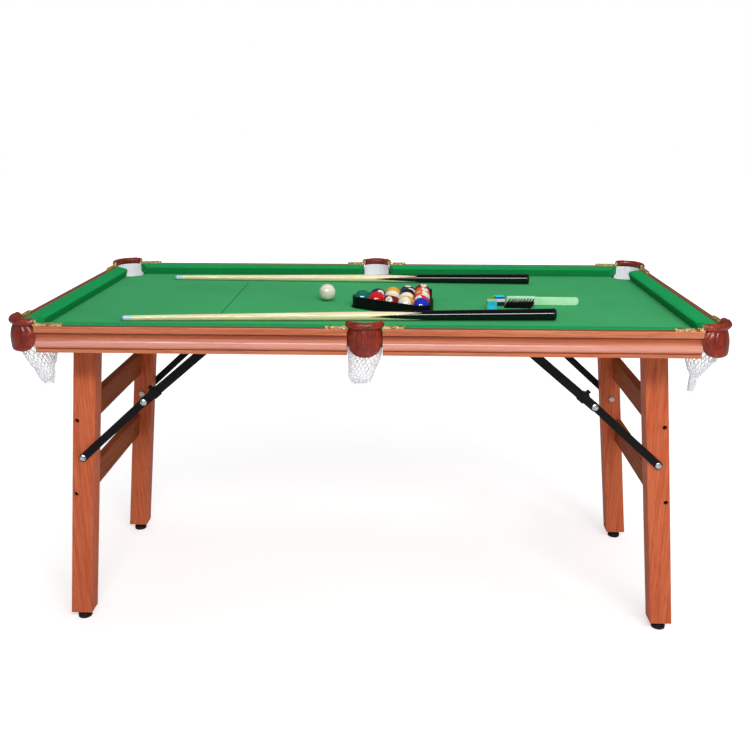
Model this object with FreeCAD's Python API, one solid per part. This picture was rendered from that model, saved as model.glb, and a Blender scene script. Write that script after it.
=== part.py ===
import FreeCAD, Part
import os
from math import atan, cos, degrees, hypot, radians, sin, tan

# Folding mini pool table with its playing set.
# Millimetres, +Z up. The origin is on the floor under the middle of the table.
# +X runs along the table's length to the right-hand end, and -Y is the front.
# Most pieces are built once, at the rear right (+X, +Y), and mirrored.

V = FreeCAD.Vector

# ---- driving dimensions ----
HALF_LENGTH = 705.0        # outer face of an end rail
HALF_WIDTH = 361.0         # outer face of a side rail
RAIL_TOP = 733.0
RAIL_BOTTOM = 680.0
CLOTH_TOP = 710.0
CLOTH_THICK = 1.0
BOARD_THICK = 15.0
STRIP = 13.0               # width of the bare wood strip on top of a rail
NOSE = 49.0                # rail's outer face to the cushion's nose
LEDGE = 30.0               # rail's outer face to the inner edge of the ledge under the bed
MIDDLE_CUT = 34.5          # side rails end here at a middle pocket
SIDE_CUT = 644.0           # side rails end here at a corner pocket
END_CUT = 297.0            # end rails end here at a corner pocket
LEDGE_SETBACK = 20.0       # the ledge stops this far short of a rail's end, clear of the corner net
GAP = 0.05                 # gap left between parts that only touch

CORNER = (659.0, 315.0)    # centre of a corner pocket
MIDDLE = (0.0, 331.0)      # centre of a middle pocket
CORNER_RING = 41.0         # pocket iron's ring, centre-line radius
MIDDLE_RING = 38.0
RING_Z = RAIL_TOP + 7.0
RING_WIRE = 3.0            # radius of the iron's ring
ROLL = 6.5                 # radius of the leather roll round the ring
CORNER_NET = 36.0          # radius of a net's mouth
MIDDLE_NET = 33.0
NET_WALL = 1.5
NET_BOTTOM = 618.0

LEG_DEPTH = 48.0           # along X
LEG_WIDTH = 40.0           # along Y
LEG_INNER = 200.0          # inner Y face of a leg
LEG_FOOT = 19.0            # height of a leg's cut end
SPLAY = 6.4                # degrees that each leg leans outward
PIVOT = (593.0, 664.0)     # X, Z of the leg's fold pivot
BRACE_ON_LEG = 257.6       # from the fold pivot, down the leg, to the brace's bolt
BRACE_TOP = (330.0, 664.0)  # X, Z of the brace's pivot under the bed
STRETCHER_HEIGHTS = (491.5, 318.0)
STRETCHER_TALL = 60.0
STRETCHER_THICK = 18.0

LINK_THICK = 3.0
LOWER_LINK_WIDE = 17.0
UPPER_LINK_WIDE = 19.0
LOWER_LINK_Y = 241.0       # inner face of the lower link
UPPER_LINK_Y = 246.6       # inner face of the upper link
OVER_CENTRE = 0.05         # links' total length beyond the straight line at rest
BOLT = 4.0                 # radius of an M8 bolt
RUN = 0.05                 # radial clearance of a running fit

BALL = 19.05
BALL_PITCH = 38.3
APEX_BALL = (-18.0, -62.5)
RACK_TURN = -2.0
CUE_LENGTH = 914.0
CUE_TIP = 5.5
CUE_BUTT = 12.5
CUE_LENGTHS = (0, 5.0, 22.0, 600.0, 906.0)   # where the tip, ferrule, shaft, butt and bumper start

# ---- derived ----
HALF_LEG = LEG_DEPTH / 2
LEG_OUTER = LEG_INNER + LEG_WIDTH
LEG_MID = LEG_INNER + LEG_WIDTH / 2
BOARD_TOP = CLOTH_TOP - CLOTH_THICK
BOARD_BOTTOM = BOARD_TOP - BOARD_THICK
DOWN_LEG = (sin(radians(SPLAY)), -cos(radians(SPLAY)))
FOOT_X = PIVOT[0] + (PIVOT[1] - LEG_FOOT) * tan(radians(SPLAY))
ON_CLOTH = CLOTH_TOP + GAP
os.makedirs("parts", exist_ok=True)


# ---- helpers ----
def box(low, high):
    size = [b - a for a, b in zip(low, high)]
    return Part.makeBox(*size, V(*low))


def rod(start, end, radius):
    along = V(*end) - V(*start)
    return Part.makeCylinder(radius, along.Length, V(*start), along)


def cone(start, end, r_start, r_end):
    along = V(*end) - V(*start)
    return Part.makeCone(r_start, r_end, along.Length, V(*start), along)


def polygon(points):
    return Part.Face(Part.makePolygon([V(*p) for p in points] + [V(*points[0])]))


def fuse(shapes):
    return shapes[0].multiFuse(shapes[1:]).removeSplitter()


def turn(shape, centre, axis, angle):
    turned = shape.copy()
    turned.rotate(V(*centre), V(*axis), angle)
    return turned


def moved(shape, offset):
    copy = shape.copy()
    copy.translate(V(*offset))
    return copy


def flip_x(shape):
    return shape.mirror(V(0, 0, 0), V(1, 0, 0))


def flip_y(shape):
    return shape.mirror(V(0, 0, 0), V(0, 1, 0))


def both_y(shape):
    return [shape, flip_y(shape)]


def four(shape):
    return both_y(shape) + both_y(flip_x(shape))


def save(name, shapes):
    solids = [s for shape in shapes for s in shape.Solids]
    whole = solids[0] if len(solids) == 1 else Part.makeCompound(solids)
    whole.exportStep("parts/%s.step" % name)


def hexagon(centre, across, thick):
    """A hex head or nut on a Y axis, growing from centre by thick along Y."""
    radius = across / 2 / cos(radians(30))
    corners = []
    for i in range(6):
        angle = radians(60 * i)
        corners.append((centre[0] + radius * cos(angle), centre[1], centre[2] + radius * sin(angle)))
    return polygon(corners).extrude(V(0, thick, 0))


def dome(centre, radius, thick):
    """A low domed head on a Y axis, flat side at centre, growing by thick along Y."""
    x, y, z = centre

    def at(r, h):
        return V(x + r * radius, y + h * thick, z)

    edges = [Part.makeLine(at(0, 0), at(1, 0)), Part.makeLine(at(1, 0), at(1, 0.3))]
    edges.append(Part.Arc(at(1, 0.3), at(0.75, 0.76), at(0.3, 1)).toShape())
    edges += [Part.makeLine(at(0.3, 1), at(0, 1)), Part.makeLine(at(0, 1), at(0, 0))]
    return Part.Face(Part.Wire(edges)).revolve(V(x, y, z), V(0, 1, 0), 360)


# ---- rails ----
def rail_outline():
    """The rail's section as (distance in from the outer face, height)."""
    step_z = RAIL_TOP - 13.0       # bottom of the flat upper band
    swell_z = step_z - 14.0        # where the cove turns into the bead
    bead_z = swell_z - 18.5
    cove_in = 5.6                  # depth of the cove behind the upper band
    swell_in = 3.8
    band_in = 1.6                  # depth of the lower band
    edges = []

    def line(a, b):
        edges.append(Part.makeLine(V(a[0], 0, a[1]), V(b[0], 0, b[1])))

    def arc(a, b, c):
        edges.append(Part.Arc(*[V(p[0], 0, p[1]) for p in (a, b, c)]).toShape())

    arc((2.0, RAIL_TOP), (0.6, RAIL_TOP - 0.6), (0, RAIL_TOP - 2.0))
    line((0, RAIL_TOP - 2.0), (0, step_z))
    line((0, step_z), (cove_in, step_z - 1.0))
    arc((cove_in, step_z - 1.0), (cove_in, step_z - 8.0), (swell_in, swell_z))
    arc((swell_in, swell_z), (0, (swell_z + bead_z) / 2), (swell_in, bead_z))
    line((swell_in, bead_z), (band_in, bead_z))
    line((band_in, bead_z), (band_in, RAIL_BOTTOM))
    line((band_in, RAIL_BOTTOM), (LEDGE, RAIL_BOTTOM))
    line((LEDGE, RAIL_BOTTOM), (LEDGE, BOARD_BOTTOM))
    line((LEDGE, BOARD_BOTTOM), (STRIP, BOARD_BOTTOM))
    line((STRIP, BOARD_BOTTOM), (STRIP, RAIL_TOP))
    line((STRIP, RAIL_TOP), (2.0, RAIL_TOP))
    return Part.Face(Part.Wire(edges))


RAIL_SCREW_IN = 21.0       # rail's outer face to the screws through the ledge
RAIL_SCREW_DEEP = 10.0     # how far those screws reach into the bed
SCREW = 2.0                # radius of a wood screw's shank
IRON_SCREW = 1.5
SIDE_SCREWS_X = (90.0, 240.0, 390.0, 540.0)
END_SCREWS_Y = (-210.0, -70.0, 70.0, 210.0)
IRON_SCREW_IN = 6.5
IRON_SCREW_DEEP = 10.0
ARM_HALF = 5.0             # half the width of a pocket iron's arm
ARM_THICK = 4.0
MIDDLE_IRON_SCREWS = (49.0, 68.0)
CORNER_IRON_SCREWS = (602.0, 629.0)
END_IRON_SCREWS = (255.0, 282.0)


def rail_screw(x, y):
    """A countersunk wood screw, driven up through the ledge into the bed."""
    head = cone((x, y, RAIL_BOTTOM + 0.2), (x, y, RAIL_BOTTOM + 3.2), 2 * SCREW, SCREW)
    return head.fuse(rod((x, y, RAIL_BOTTOM + 3.2), (x, y, BOARD_BOTTOM + RAIL_SCREW_DEEP), SCREW))


def rail_screw_hole(x, y):
    sink = cone((x, y, RAIL_BOTTOM), (x, y, RAIL_BOTTOM + 3.4), 2 * SCREW + 0.3, SCREW + 0.1)
    return sink.fuse(rod((x, y, RAIL_BOTTOM + 3.3), (x, y, BOARD_BOTTOM + RAIL_SCREW_DEEP + 0.2), SCREW + 0.1))


def iron_screw(x, y):
    """A small domed screw through a pocket iron's arm."""
    top = RAIL_TOP + ARM_THICK
    head = cone((x, y, top + GAP), (x, y, top + 1.4), 3.2, 1.8)
    return head.fuse(rod((x, y, RAIL_TOP - IRON_SCREW_DEEP), (x, y, top + GAP), IRON_SCREW))


def iron_screw_hole(x, y):
    return rod((x, y, RAIL_TOP - IRON_SCREW_DEEP - 0.2), (x, y, RAIL_TOP + ARM_THICK + 1), IRON_SCREW + 0.1)


def rear_right_rail():
    rail = rail_outline().extrude(V(0, SIDE_CUT - MIDDLE_CUT, 0))
    rail = turn(rail, (0, 0, 0), (0, 0, 1), -90)
    # the outline's "in" axis now runs along -Y and its length along +X
    rail = moved(rail, (MIDDLE_CUT, HALF_WIDTH, 0))
    holes = [rail_screw_hole(x, HALF_WIDTH - RAIL_SCREW_IN) for x in SIDE_SCREWS_X]
    for x in MIDDLE_IRON_SCREWS + CORNER_IRON_SCREWS:
        holes.append(iron_screw_hole(x, HALF_WIDTH - IRON_SCREW_IN))
    ledge_low = (SIDE_CUT - LEDGE_SETBACK, HALF_WIDTH - LEDGE - 1, RAIL_BOTTOM - 1)
    holes.append(box(ledge_low, (SIDE_CUT + 1, HALF_WIDTH - STRIP, BOARD_BOTTOM + 1)))
    return rail.cut(Part.makeCompound(holes))


def right_end_rail():
    rail = rail_outline().extrude(V(0, 2 * END_CUT, 0))
    rail = turn(rail, (0, 0, 0), (0, 0, 1), 180)
    rail = moved(rail, (HALF_LENGTH, END_CUT, 0))
    holes = [rail_screw_hole(HALF_LENGTH - RAIL_SCREW_IN, y) for y in END_SCREWS_Y]
    for y in END_IRON_SCREWS:
        holes.append(iron_screw_hole(HALF_LENGTH - IRON_SCREW_IN, y))
        holes.append(iron_screw_hole(HALF_LENGTH - IRON_SCREW_IN, -y))
    ledge_low = (HALF_LENGTH - LEDGE - 1, END_CUT - LEDGE_SETBACK, RAIL_BOTTOM - 1)
    holes += both_y(box(ledge_low, (HALF_LENGTH - STRIP, END_CUT + 1, BOARD_BOTTOM + 1)))
    return rail.cut(Part.makeCompound(holes))


def cushion(length_low, length_high, nose_low, nose_high):
    """A cloth-covered rubber cushion, ends cut back to the pockets.

    Built with "in from the rail" along +X and its length along +Y.
    """
    low_z = CLOTH_TOP + GAP
    high_z = RAIL_TOP - 0.5
    back = STRIP + GAP
    section = [(back, 0, low_z), (back, 0, high_z), (NOSE - 2, 0, high_z - 1), (NOSE, 0, high_z - 4),
               (NOSE - 0.5, 0, high_z - 7), (NOSE - 6, 0, low_z)]
    plan = [(back, length_low, 0), (NOSE, nose_low, 0), (NOSE, nose_high, 0), (back, length_high, 0)]
    bar = moved(polygon(section).extrude(V(0, length_high - length_low, 0)), (0, length_low, 0))
    return bar.common(polygon(plan).extrude(V(0, 0, RAIL_TOP)))


CORNER_SETBACK = 25.0      # how far the nose stops short of the rail's end at a corner
MIDDLE_SETBACK = 9.0


def rear_right_cushion():
    bar = cushion(MIDDLE_CUT, SIDE_CUT, MIDDLE_CUT + MIDDLE_SETBACK, SIDE_CUT - CORNER_SETBACK)
    return moved(turn(bar, (0, 0, 0), (0, 0, 1), -90), (0, HALF_WIDTH, 0))


def right_end_cushion():
    nose = END_CUT - CORNER_SETBACK
    return moved(flip_x(cushion(-END_CUT, END_CUT, -nose, nose)), (HALF_LENGTH, 0, 0))


def make_rails():
    rail = rear_right_rail()
    save("rail_rear_right", [rail])
    save("rail_rear_left", [flip_x(rail)])
    save("rail_front_right", [flip_y(rail)])
    save("rail_front_left", [flip_x(flip_y(rail))])
    end = right_end_rail()
    save("rail_end_right", [end])
    save("rail_end_left", [flip_x(end)])
    side = rear_right_cushion()
    save("cushion_rear_right", [side])
    save("cushion_rear_left", [flip_x(side)])
    save("cushion_front_right", [flip_y(side)])
    save("cushion_front_left", [flip_x(flip_y(side))])
    end = right_end_cushion()
    save("cushion_end_right", [end])
    save("cushion_end_left", [flip_x(end)])
    screws = []
    for x in SIDE_SCREWS_X:
        screws += four(rail_screw(x, HALF_WIDTH - RAIL_SCREW_IN))
    for y in END_SCREWS_Y:
        screw = rail_screw(HALF_LENGTH - RAIL_SCREW_IN, y)
        screws += [screw, flip_x(screw)]
    save("rail_screws", screws)


# ---- bed ----
LEG_BRACKET_SCREWS = [(dx, y) for dx in (-24.0, 24.0) for y in (186.0, 254.0)]
BRACE_BRACKET_SCREWS = [(dx, 244.0) for dx in (-13.0, 13.0)]
BRACKET_SCREW_DEEP = 11.0
PLATE = 2.0                # thickness of the brackets' plates
NOTCH = 36.0               # radius of the bed's notch at a middle pocket
BATTEN_END = 560.0
BATTEN_Y = (80.0, 120.0)
BATTEN_TALL = 18.0


def bracket_screw(x, y):
    """A pan-head wood screw, driven up through a bracket's plate into the bed."""
    plate_low = BOARD_BOTTOM - PLATE
    head = rod((x, y, plate_low - 1.6), (x, y, plate_low), 3.4)
    return head.fuse(rod((x, y, plate_low), (x, y, BOARD_BOTTOM + BRACKET_SCREW_DEEP), SCREW))


def bracket_screw_places():
    places = [(PIVOT[0] + dx, y) for dx, y in LEG_BRACKET_SCREWS]
    places += [(BRACE_TOP[0] + dx, y) for dx, y in BRACE_BRACKET_SCREWS]
    return places


def sheet_outline(low, high, edge):
    """The bed's plan with its six pocket notches, as a slab from low to high."""
    x = HALF_LENGTH - edge
    y = HALF_WIDTH - edge
    slab = box((-x, -y, low), (x, y, high))
    cx, cy = CORNER
    corner = rod((cx, cy, low - 1), (cx, cy, high + 1), NOTCH + 2)
    corner = corner.fuse(box((cx, cy, low - 1), (HALF_LENGTH, HALF_WIDTH, high + 1)))
    middle = rod((0, MIDDLE[1], low - 1), (0, MIDDLE[1], high + 1), NOTCH)
    return slab.cut(Part.makeCompound(four(corner) + both_y(middle)))


def bed_hole(x, y, deep):
    """A screw's hole up into the underside of the bed."""
    return rod((x, y, BOARD_BOTTOM - 1), (x, y, BOARD_BOTTOM + deep + 0.2), SCREW + GAP)


def make_bed():
    board = sheet_outline(BOARD_BOTTOM, BOARD_TOP - GAP, STRIP + 0.2)
    holes = []
    for x, y in bracket_screw_places():
        holes += four(bed_hole(x, y, BRACKET_SCREW_DEEP))
    for x in SIDE_SCREWS_X:
        holes += four(bed_hole(x, HALF_WIDTH - RAIL_SCREW_IN, RAIL_SCREW_DEEP))
    for y in END_SCREWS_Y:
        hole = bed_hole(HALF_LENGTH - RAIL_SCREW_IN, y, RAIL_SCREW_DEEP)
        holes += [hole, flip_x(hole)]
    save("bed_board", [board.cut(Part.makeCompound(holes))])
    save("bed_cloth", [sheet_outline(BOARD_TOP, CLOTH_TOP, STRIP + 0.4)])
    low = (-BATTEN_END, BATTEN_Y[0], BOARD_BOTTOM - BATTEN_TALL)
    batten = box(low, (BATTEN_END, BATTEN_Y[1], BOARD_BOTTOM - GAP))
    save("bed_battens", both_y(batten.makeFillet(2.0, [e for e in batten.Edges if e.Length > BATTEN_END])))


# ---- pockets ----
def spun(points, centre, middle_angle, half_angle):
    """A closed (radius, height) outline spun about a pocket's centre line."""
    face = polygon([(r, 0, z) for r, z in points])
    if half_angle >= 180:
        solid = face.revolve(V(0, 0, 0), V(0, 0, 1), 360)
    else:
        solid = face.revolve(V(0, 0, 0), V(0, 0, 1), 2 * half_angle)
    solid = turn(solid, (0, 0, 0), (0, 0, 1), middle_angle - half_angle)
    return moved(solid, (centre[0], centre[1], 0))


def ring(radius, tube, centre, middle_angle, half_angle):
    solid = Part.makeTorus(radius, tube, V(0, 0, 0), V(0, 0, 1), 0, 360, 2 * half_angle)
    solid = turn(solid, (0, 0, 0), (0, 0, 1), middle_angle - half_angle)
    return moved(solid, (centre[0], centre[1], RING_Z))


def on_ring(radius, centre, angle):
    return centre[0] + radius * cos(radians(angle)), centre[1] + radius * sin(radians(angle))


# a pocket's parts reach this many degrees to each side of the way it faces
CORNER_IRON_REACH = 67.0
CORNER_LEATHER_REACH = 60.0
CORNER_NET_REACH = 64.0
MIDDLE_IRON_REACH = 60.0
MIDDLE_LEATHER_REACH = 52.0
MIDDLE_NET_REACH = 80.0

LUG = 3.8                  # radius of the post at each end of the ring
LUG_TOP = RING_Z + RING_WIRE + 0.5
CORNER_ARM_X = (593.5, 646.0)
CORNER_ARM_Y = (246.5, 302.0)
MIDDLE_ARM_X = (34.5, 72.5)


def lug(radius, centre, angle):
    """Joins an end of the ring down to its arm."""
    x, y = on_ring(radius, centre, angle)
    return rod((x, y, RAIL_TOP + GAP), (x, y, LUG_TOP), LUG)


def arm_x(low, high, round_low):
    """A pocket iron's arm lying on a side rail."""
    y = HALF_WIDTH - IRON_SCREW_IN
    bottom = RAIL_TOP + GAP
    bar = box((low, y - ARM_HALF, bottom), (high, y + ARM_HALF, RAIL_TOP + ARM_THICK))
    end = low if round_low else high
    return bar.fuse(rod((end, y, bottom), (end, y, RAIL_TOP + ARM_THICK), ARM_HALF))


def arm_y(low, high):
    """A pocket iron's arm lying on an end rail."""
    x = HALF_LENGTH - IRON_SCREW_IN
    bottom = RAIL_TOP + GAP
    bar = box((x - ARM_HALF, low, bottom), (x + ARM_HALF, high, RAIL_TOP + ARM_THICK))
    return bar.fuse(rod((x, low, bottom), (x, low, RAIL_TOP + ARM_THICK), ARM_HALF))


def corner_iron():
    pieces = [ring(CORNER_RING, RING_WIRE, CORNER, 45, CORNER_IRON_REACH)]
    pieces += [lug(CORNER_RING, CORNER, 45 + side * CORNER_IRON_REACH) for side in (-1, 1)]
    pieces += [arm_x(*CORNER_ARM_X, True), arm_y(*CORNER_ARM_Y)]
    holes = [iron_screw_hole(x, HALF_WIDTH - IRON_SCREW_IN) for x in CORNER_IRON_SCREWS]
    holes += [iron_screw_hole(HALF_LENGTH - IRON_SCREW_IN, y) for y in END_IRON_SCREWS]
    return fuse(pieces).cut(Part.makeCompound(holes))


def middle_iron():
    pieces = [ring(MIDDLE_RING, RING_WIRE, MIDDLE, 90, MIDDLE_IRON_REACH)]
    pieces += [lug(MIDDLE_RING, MIDDLE, 90 + side * MIDDLE_IRON_REACH) for side in (-1, 1)]
    arm = arm_x(*MIDDLE_ARM_X, False)
    pieces += [arm, flip_x(arm)]
    hole = [iron_screw_hole(x, HALF_WIDTH - IRON_SCREW_IN) for x in MIDDLE_IRON_SCREWS]
    return fuse(pieces).cut(Part.makeCompound(hole + [flip_x(h) for h in hole]))


def corner_leather():
    roll = ring(CORNER_RING, ROLL, CORNER, 45, CORNER_LEATHER_REACH)
    bore = ring(CORNER_RING, RING_WIRE + GAP, CORNER, 45, CORNER_LEATHER_REACH + 1)
    low = RAIL_BOTTOM + 4
    skirt = [(43, low), (45, low), (42, RAIL_TOP + 2), (40, RAIL_TOP + 2)]
    return roll.cut(bore).fuse(spun(skirt, CORNER, 45, CORNER_LEATHER_REACH - 2))


def middle_leather():
    roll = ring(MIDDLE_RING, ROLL, MIDDLE, 90, MIDDLE_LEATHER_REACH)
    bore = ring(MIDDLE_RING, RING_WIRE + GAP, MIDDLE, 90, MIDDLE_LEATHER_REACH + 1)
    skirt = [(35.5, RAIL_BOTTOM), (37.5, RAIL_BOTTOM), (38.5, RAIL_TOP + 2), (36.5, RAIL_TOP + 2)]
    return roll.cut(bore).fuse(spun(skirt, MIDDLE, 90, MIDDLE_LEATHER_REACH - 2))


def net(centre, top_radius, middle_angle, half_angle):
    """A string bag: a liner behind the leather above the bed, a closed bag below it."""
    mouth = BOARD_BOTTOM - 2
    belly = (mouth + NET_BOTTOM) / 2
    outer = [(0, NET_BOTTOM), (14, NET_BOTTOM + 2), (top_radius - 6, belly), (top_radius, mouth)]
    inner = [(top_radius - NET_WALL, mouth), (top_radius - 6 - NET_WALL, belly),
             (13, NET_BOTTOM + 3.5), (0, NET_BOTTOM + 1.5)]
    bag = spun(outer + inner, centre, middle_angle, 180)
    liner = [(top_radius - NET_WALL, mouth - 1), (top_radius, mouth - 1),
             (top_radius, RAIL_TOP - 2), (top_radius - NET_WALL, RAIL_TOP - 2)]
    return bag.fuse(spun(liner, centre, middle_angle, half_angle))


def make_pockets():
    save("pocket_irons", four(corner_iron()) + both_y(middle_iron()))
    save("pocket_leathers_corner", four(corner_leather()))
    save("pocket_leathers_middle", both_y(middle_leather()))
    save("pocket_nets_corner", four(net(CORNER, CORNER_NET, 45, CORNER_NET_REACH)))
    save("pocket_nets_middle", both_y(net(MIDDLE, MIDDLE_NET, 90, MIDDLE_NET_REACH)))
    screws = []
    for x in MIDDLE_IRON_SCREWS + CORNER_IRON_SCREWS:
        screws += four(iron_screw(x, HALF_WIDTH - IRON_SCREW_IN))
    for y in END_IRON_SCREWS:
        screws += four(iron_screw(HALF_LENGTH - IRON_SCREW_IN, y))
    save("pocket_iron_screws", screws)


# ---- folding leg frames, built at the right-hand end ----
def leg_point(along, outward):
    """X, Z of a point that is along the leg from its pivot, and outward of its centre line."""
    x = PIVOT[0] + along * DOWN_LEG[0] - outward * DOWN_LEG[1]
    z = PIVOT[1] + along * DOWN_LEG[1] + outward * DOWN_LEG[0]
    return x, z


def leaned(shape):
    """Leans a shape drawn below the pivot, with the leg upright, outward by the splay."""
    return turn(shape, (PIVOT[0], 0, PIVOT[1]), (0, 1, 0), -SPLAY)


def along_leg(height):
    return (PIVOT[1] - height) / cos(radians(SPLAY))


def upright(along, outward):
    """X, Z before leaning."""
    return PIVOT[0] + outward, PIVOT[1] - along


BOLT_RECESS = 12.0
BOLT_OUTWARD = HALF_LEG - STRETCHER_THICK / 2
STRETCHER_BOLT = 3.0       # radius of the bolt into a stretcher's end
STRETCHER_BOLT_END = 153.0
BARREL = 5.0               # radius of the barrel nut, and of the bolt head's recess
BARREL_Y = 165.0
STEM_DEEP = 28.0           # how far a foot's stem reaches into its leg


def leg():
    px, pz = PIVOT
    post = box((px - HALF_LEG, LEG_INNER, pz - 700), (px + HALF_LEG, LEG_OUTER, pz))
    post = fuse([post, rod((px, LEG_INNER, pz), (px, LEG_OUTER, pz), HALF_LEG)])
    long_edges = []
    for edge in post.Edges:
        ends = edge.BoundBox
        if ends.YLength < 0.1 and ends.ZMin > pz - 699:
            long_edges.append(edge)
        elif ends.YLength < 0.1 and ends.ZLength > 500:
            long_edges.append(edge)
    post = post.makeFillet(1.5, long_edges)
    holes = [rod((px, LEG_INNER - 1, pz), (px, LEG_OUTER + 1, pz), BOLT + RUN)]
    bx, bz = upright(BRACE_ON_LEG, 0)
    holes.append(rod((bx, LEG_INNER - 1, bz), (bx, LEG_OUTER + 1, bz), BOLT + RUN))
    for height in STRETCHER_HEIGHTS:
        x, z = upright(along_leg(height), BOLT_OUTWARD)
        holes.append(rod((x, LEG_INNER - 1, z), (x, LEG_OUTER + 1, z), STRETCHER_BOLT + RUN))
        holes.append(rod((x, LEG_OUTER - BOLT_RECESS, z), (x, LEG_OUTER + 1, z), BARREL))
    post = leaned(post.cut(Part.makeCompound(holes)))
    post = post.cut(box((500, 100, -100), (800, 300, LEG_FOOT)))
    socket = rod((FOOT_X, LEG_MID, LEG_FOOT - 1), (FOOT_X, LEG_MID, LEG_FOOT + STEM_DEEP + 4), BOLT + RUN)
    return post.cut(socket)


def stretcher(height):
    x, z = upright(along_leg(height), HALF_LEG)
    half = STRETCHER_TALL / 2
    end = LEG_INNER - GAP
    bar = box((x - STRETCHER_THICK, -end, z - half), (x, end, z + half))
    bar = bar.makeFillet(2.0, [e for e in bar.Edges if e.BoundBox.YLength > 300])
    mid = x - STRETCHER_THICK / 2
    holes = []
    for side in (-1, 1):
        bolt_low = (mid, side * (STRETCHER_BOLT_END - 3), z)
        holes.append(rod(bolt_low, (mid, side * (LEG_INNER + 1), z), STRETCHER_BOLT + RUN))
        barrel_low = (x - STRETCHER_THICK - 1, side * BARREL_Y, z)
        holes.append(rod(barrel_low, (x - 3, side * BARREL_Y, z), BARREL + RUN))
    return leaned(bar.cut(Part.makeCompound(holes)))


def stretcher_fixing(height):
    """A recessed socket bolt and the barrel nut that it pulls on, at the rear end."""
    x, z = upright(along_leg(height), BOLT_OUTWARD)
    seat = LEG_OUTER - BOLT_RECESS
    bolt = rod((x, seat + GAP, z), (x, seat + 6, z), 4.8)
    bolt = bolt.fuse(rod((x, STRETCHER_BOLT_END, z), (x, seat + GAP, z), STRETCHER_BOLT))
    socket = hexagon((x, seat + 2.5, z), 5.0, 4.0)
    barrel = rod((x - STRETCHER_THICK / 2 + 0.5, BARREL_Y, z), (x + 5.5, BARREL_Y, z), BARREL)
    bore = rod((x, BARREL_Y - 2 * BARREL, z), (x, BARREL_Y + 2 * BARREL, z), STRETCHER_BOLT + GAP)
    barrel = barrel.cut(bore)
    return [leaned(bolt.cut(socket)), leaned(barrel)]


FOOT_PAD = 15.5            # radius of a foot's pad
FOOT_PAD_TOP = 7.0
FOOT_SHOULDER_TOP = 11.0
FOOT_COLLAR = 7.5


def foot():
    """A levelling foot: a moulded pad and a hex collar on a threaded stem."""
    x, y = FOOT_X, LEG_MID
    pad = rod((x, y, 0), (x, y, FOOT_PAD_TOP), FOOT_PAD)
    shoulder = cone((x, y, FOOT_PAD_TOP), (x, y, FOOT_SHOULDER_TOP), 13.0, 8.0)
    stem = rod((x, y, FOOT_SHOULDER_TOP), (x, y, LEG_FOOT + STEM_DEEP), BOLT)
    collar = []
    for i in range(6):
        angle = radians(60 * i)
        collar.append((x + FOOT_COLLAR * cos(angle), y + FOOT_COLLAR * sin(angle), FOOT_SHOULDER_TOP))
    return fuse([pad, shoulder, polygon(collar).extrude(V(0, 0, 6)), stem])


# ---- braces ----
def brace_points():
    """The brace's three pivots as X, Z, and the lengths of its lower and upper links."""
    bolt = leg_point(BRACE_ON_LEG, 0)
    span = hypot(bolt[0] - BRACE_TOP[0], bolt[1] - BRACE_TOP[1])
    # folded flat, the leg's bolt lies level with the top pivot and this far from it
    folded_gap = (PIVOT[0] - BRACE_ON_LEG) - BRACE_TOP[0]
    lower = (span + OVER_CENTRE + folded_gap) / 2
    upper = (span + OVER_CENTRE - folded_gap) / 2
    reach = (lower ** 2 - upper ** 2 + span ** 2) / (2 * span)
    rise = (lower ** 2 - reach ** 2) ** 0.5
    ux = (BRACE_TOP[0] - bolt[0]) / span
    uz = (BRACE_TOP[1] - bolt[1]) / span
    knuckle = (bolt[0] + reach * ux + rise * uz, bolt[1] + reach * uz - rise * ux)
    return bolt, knuckle, lower, upper


def flat_bar(a, b, y, wide, hole_a, hole_b):
    """A flat steel link between two X, Z points, with round ends and a hole at each."""
    length = hypot(b[0] - a[0], b[1] - a[1])
    bar = box((0, y, -wide / 2), (length, y + LINK_THICK, wide / 2))
    ends = [rod((x, y, 0), (x, y + LINK_THICK, 0), wide / 2) for x in (0, length)]
    bar = fuse([bar] + ends)
    holes = [rod((x, y - 1, 0), (x, y + LINK_THICK + 1, 0), r) for x, r in ((0, hole_a), (length, hole_b))]
    bar = bar.cut(Part.makeCompound(holes))
    angle = along_angle(a, b)
    return moved(turn(bar, (0, 0, 0), (0, 1, 0), -angle), (a[0], 0, a[1]))


def along_angle(a, b):
    """Degrees up from +X of the line from a to b, in the XZ plane."""
    angle = degrees(atan((b[1] - a[1]) / (b[0] - a[0])))
    return angle if b[0] > a[0] else angle + 180


CATCH_FROM_KNUCKLE = 26.0
CATCH_LONG = 17.0
CATCH_WALL = 2.0
CATCH_RUN = 0.1
CATCH_TAB = 9.0


def catch(knuckle):
    """A pressed sleeve that slides on the upper link, with a thumb tab on its upper edge."""
    half = UPPER_LINK_WIDE / 2 + CATCH_RUN
    low_y = UPPER_LINK_Y - CATCH_RUN
    high_y = UPPER_LINK_Y + LINK_THICK + CATCH_RUN
    start = CATCH_FROM_KNUCKLE
    end = start + CATCH_LONG
    sleeve = box((start, low_y - CATCH_WALL, -half - CATCH_WALL), (end, high_y + CATCH_WALL, half + CATCH_WALL))
    sleeve = sleeve.makeFillet(1.2, sleeve.Edges)
    tunnel = box((start - 1, low_y, -half), (end + 1, high_y, half))
    low_tab = half + CATCH_WALL - 1
    tab = box((start + 4, low_y - 1, low_tab), (end - 4, high_y + 1, half + CATCH_TAB))
    tab = tab.makeFillet(1.0, tab.Edges)
    sleeve = fuse([sleeve, tab]).cut(tunnel)
    # drawn with the link running along +X from the knuckle and the tab up
    angle = along_angle(knuckle, BRACE_TOP)
    return moved(turn(flip_z(sleeve), (0, 0, 0), (0, 1, 0), -angle), (knuckle[0], 0, knuckle[1]))


def flip_z(shape):
    return shape.mirror(V(0, 0, 0), V(0, 0, 1))


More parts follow.
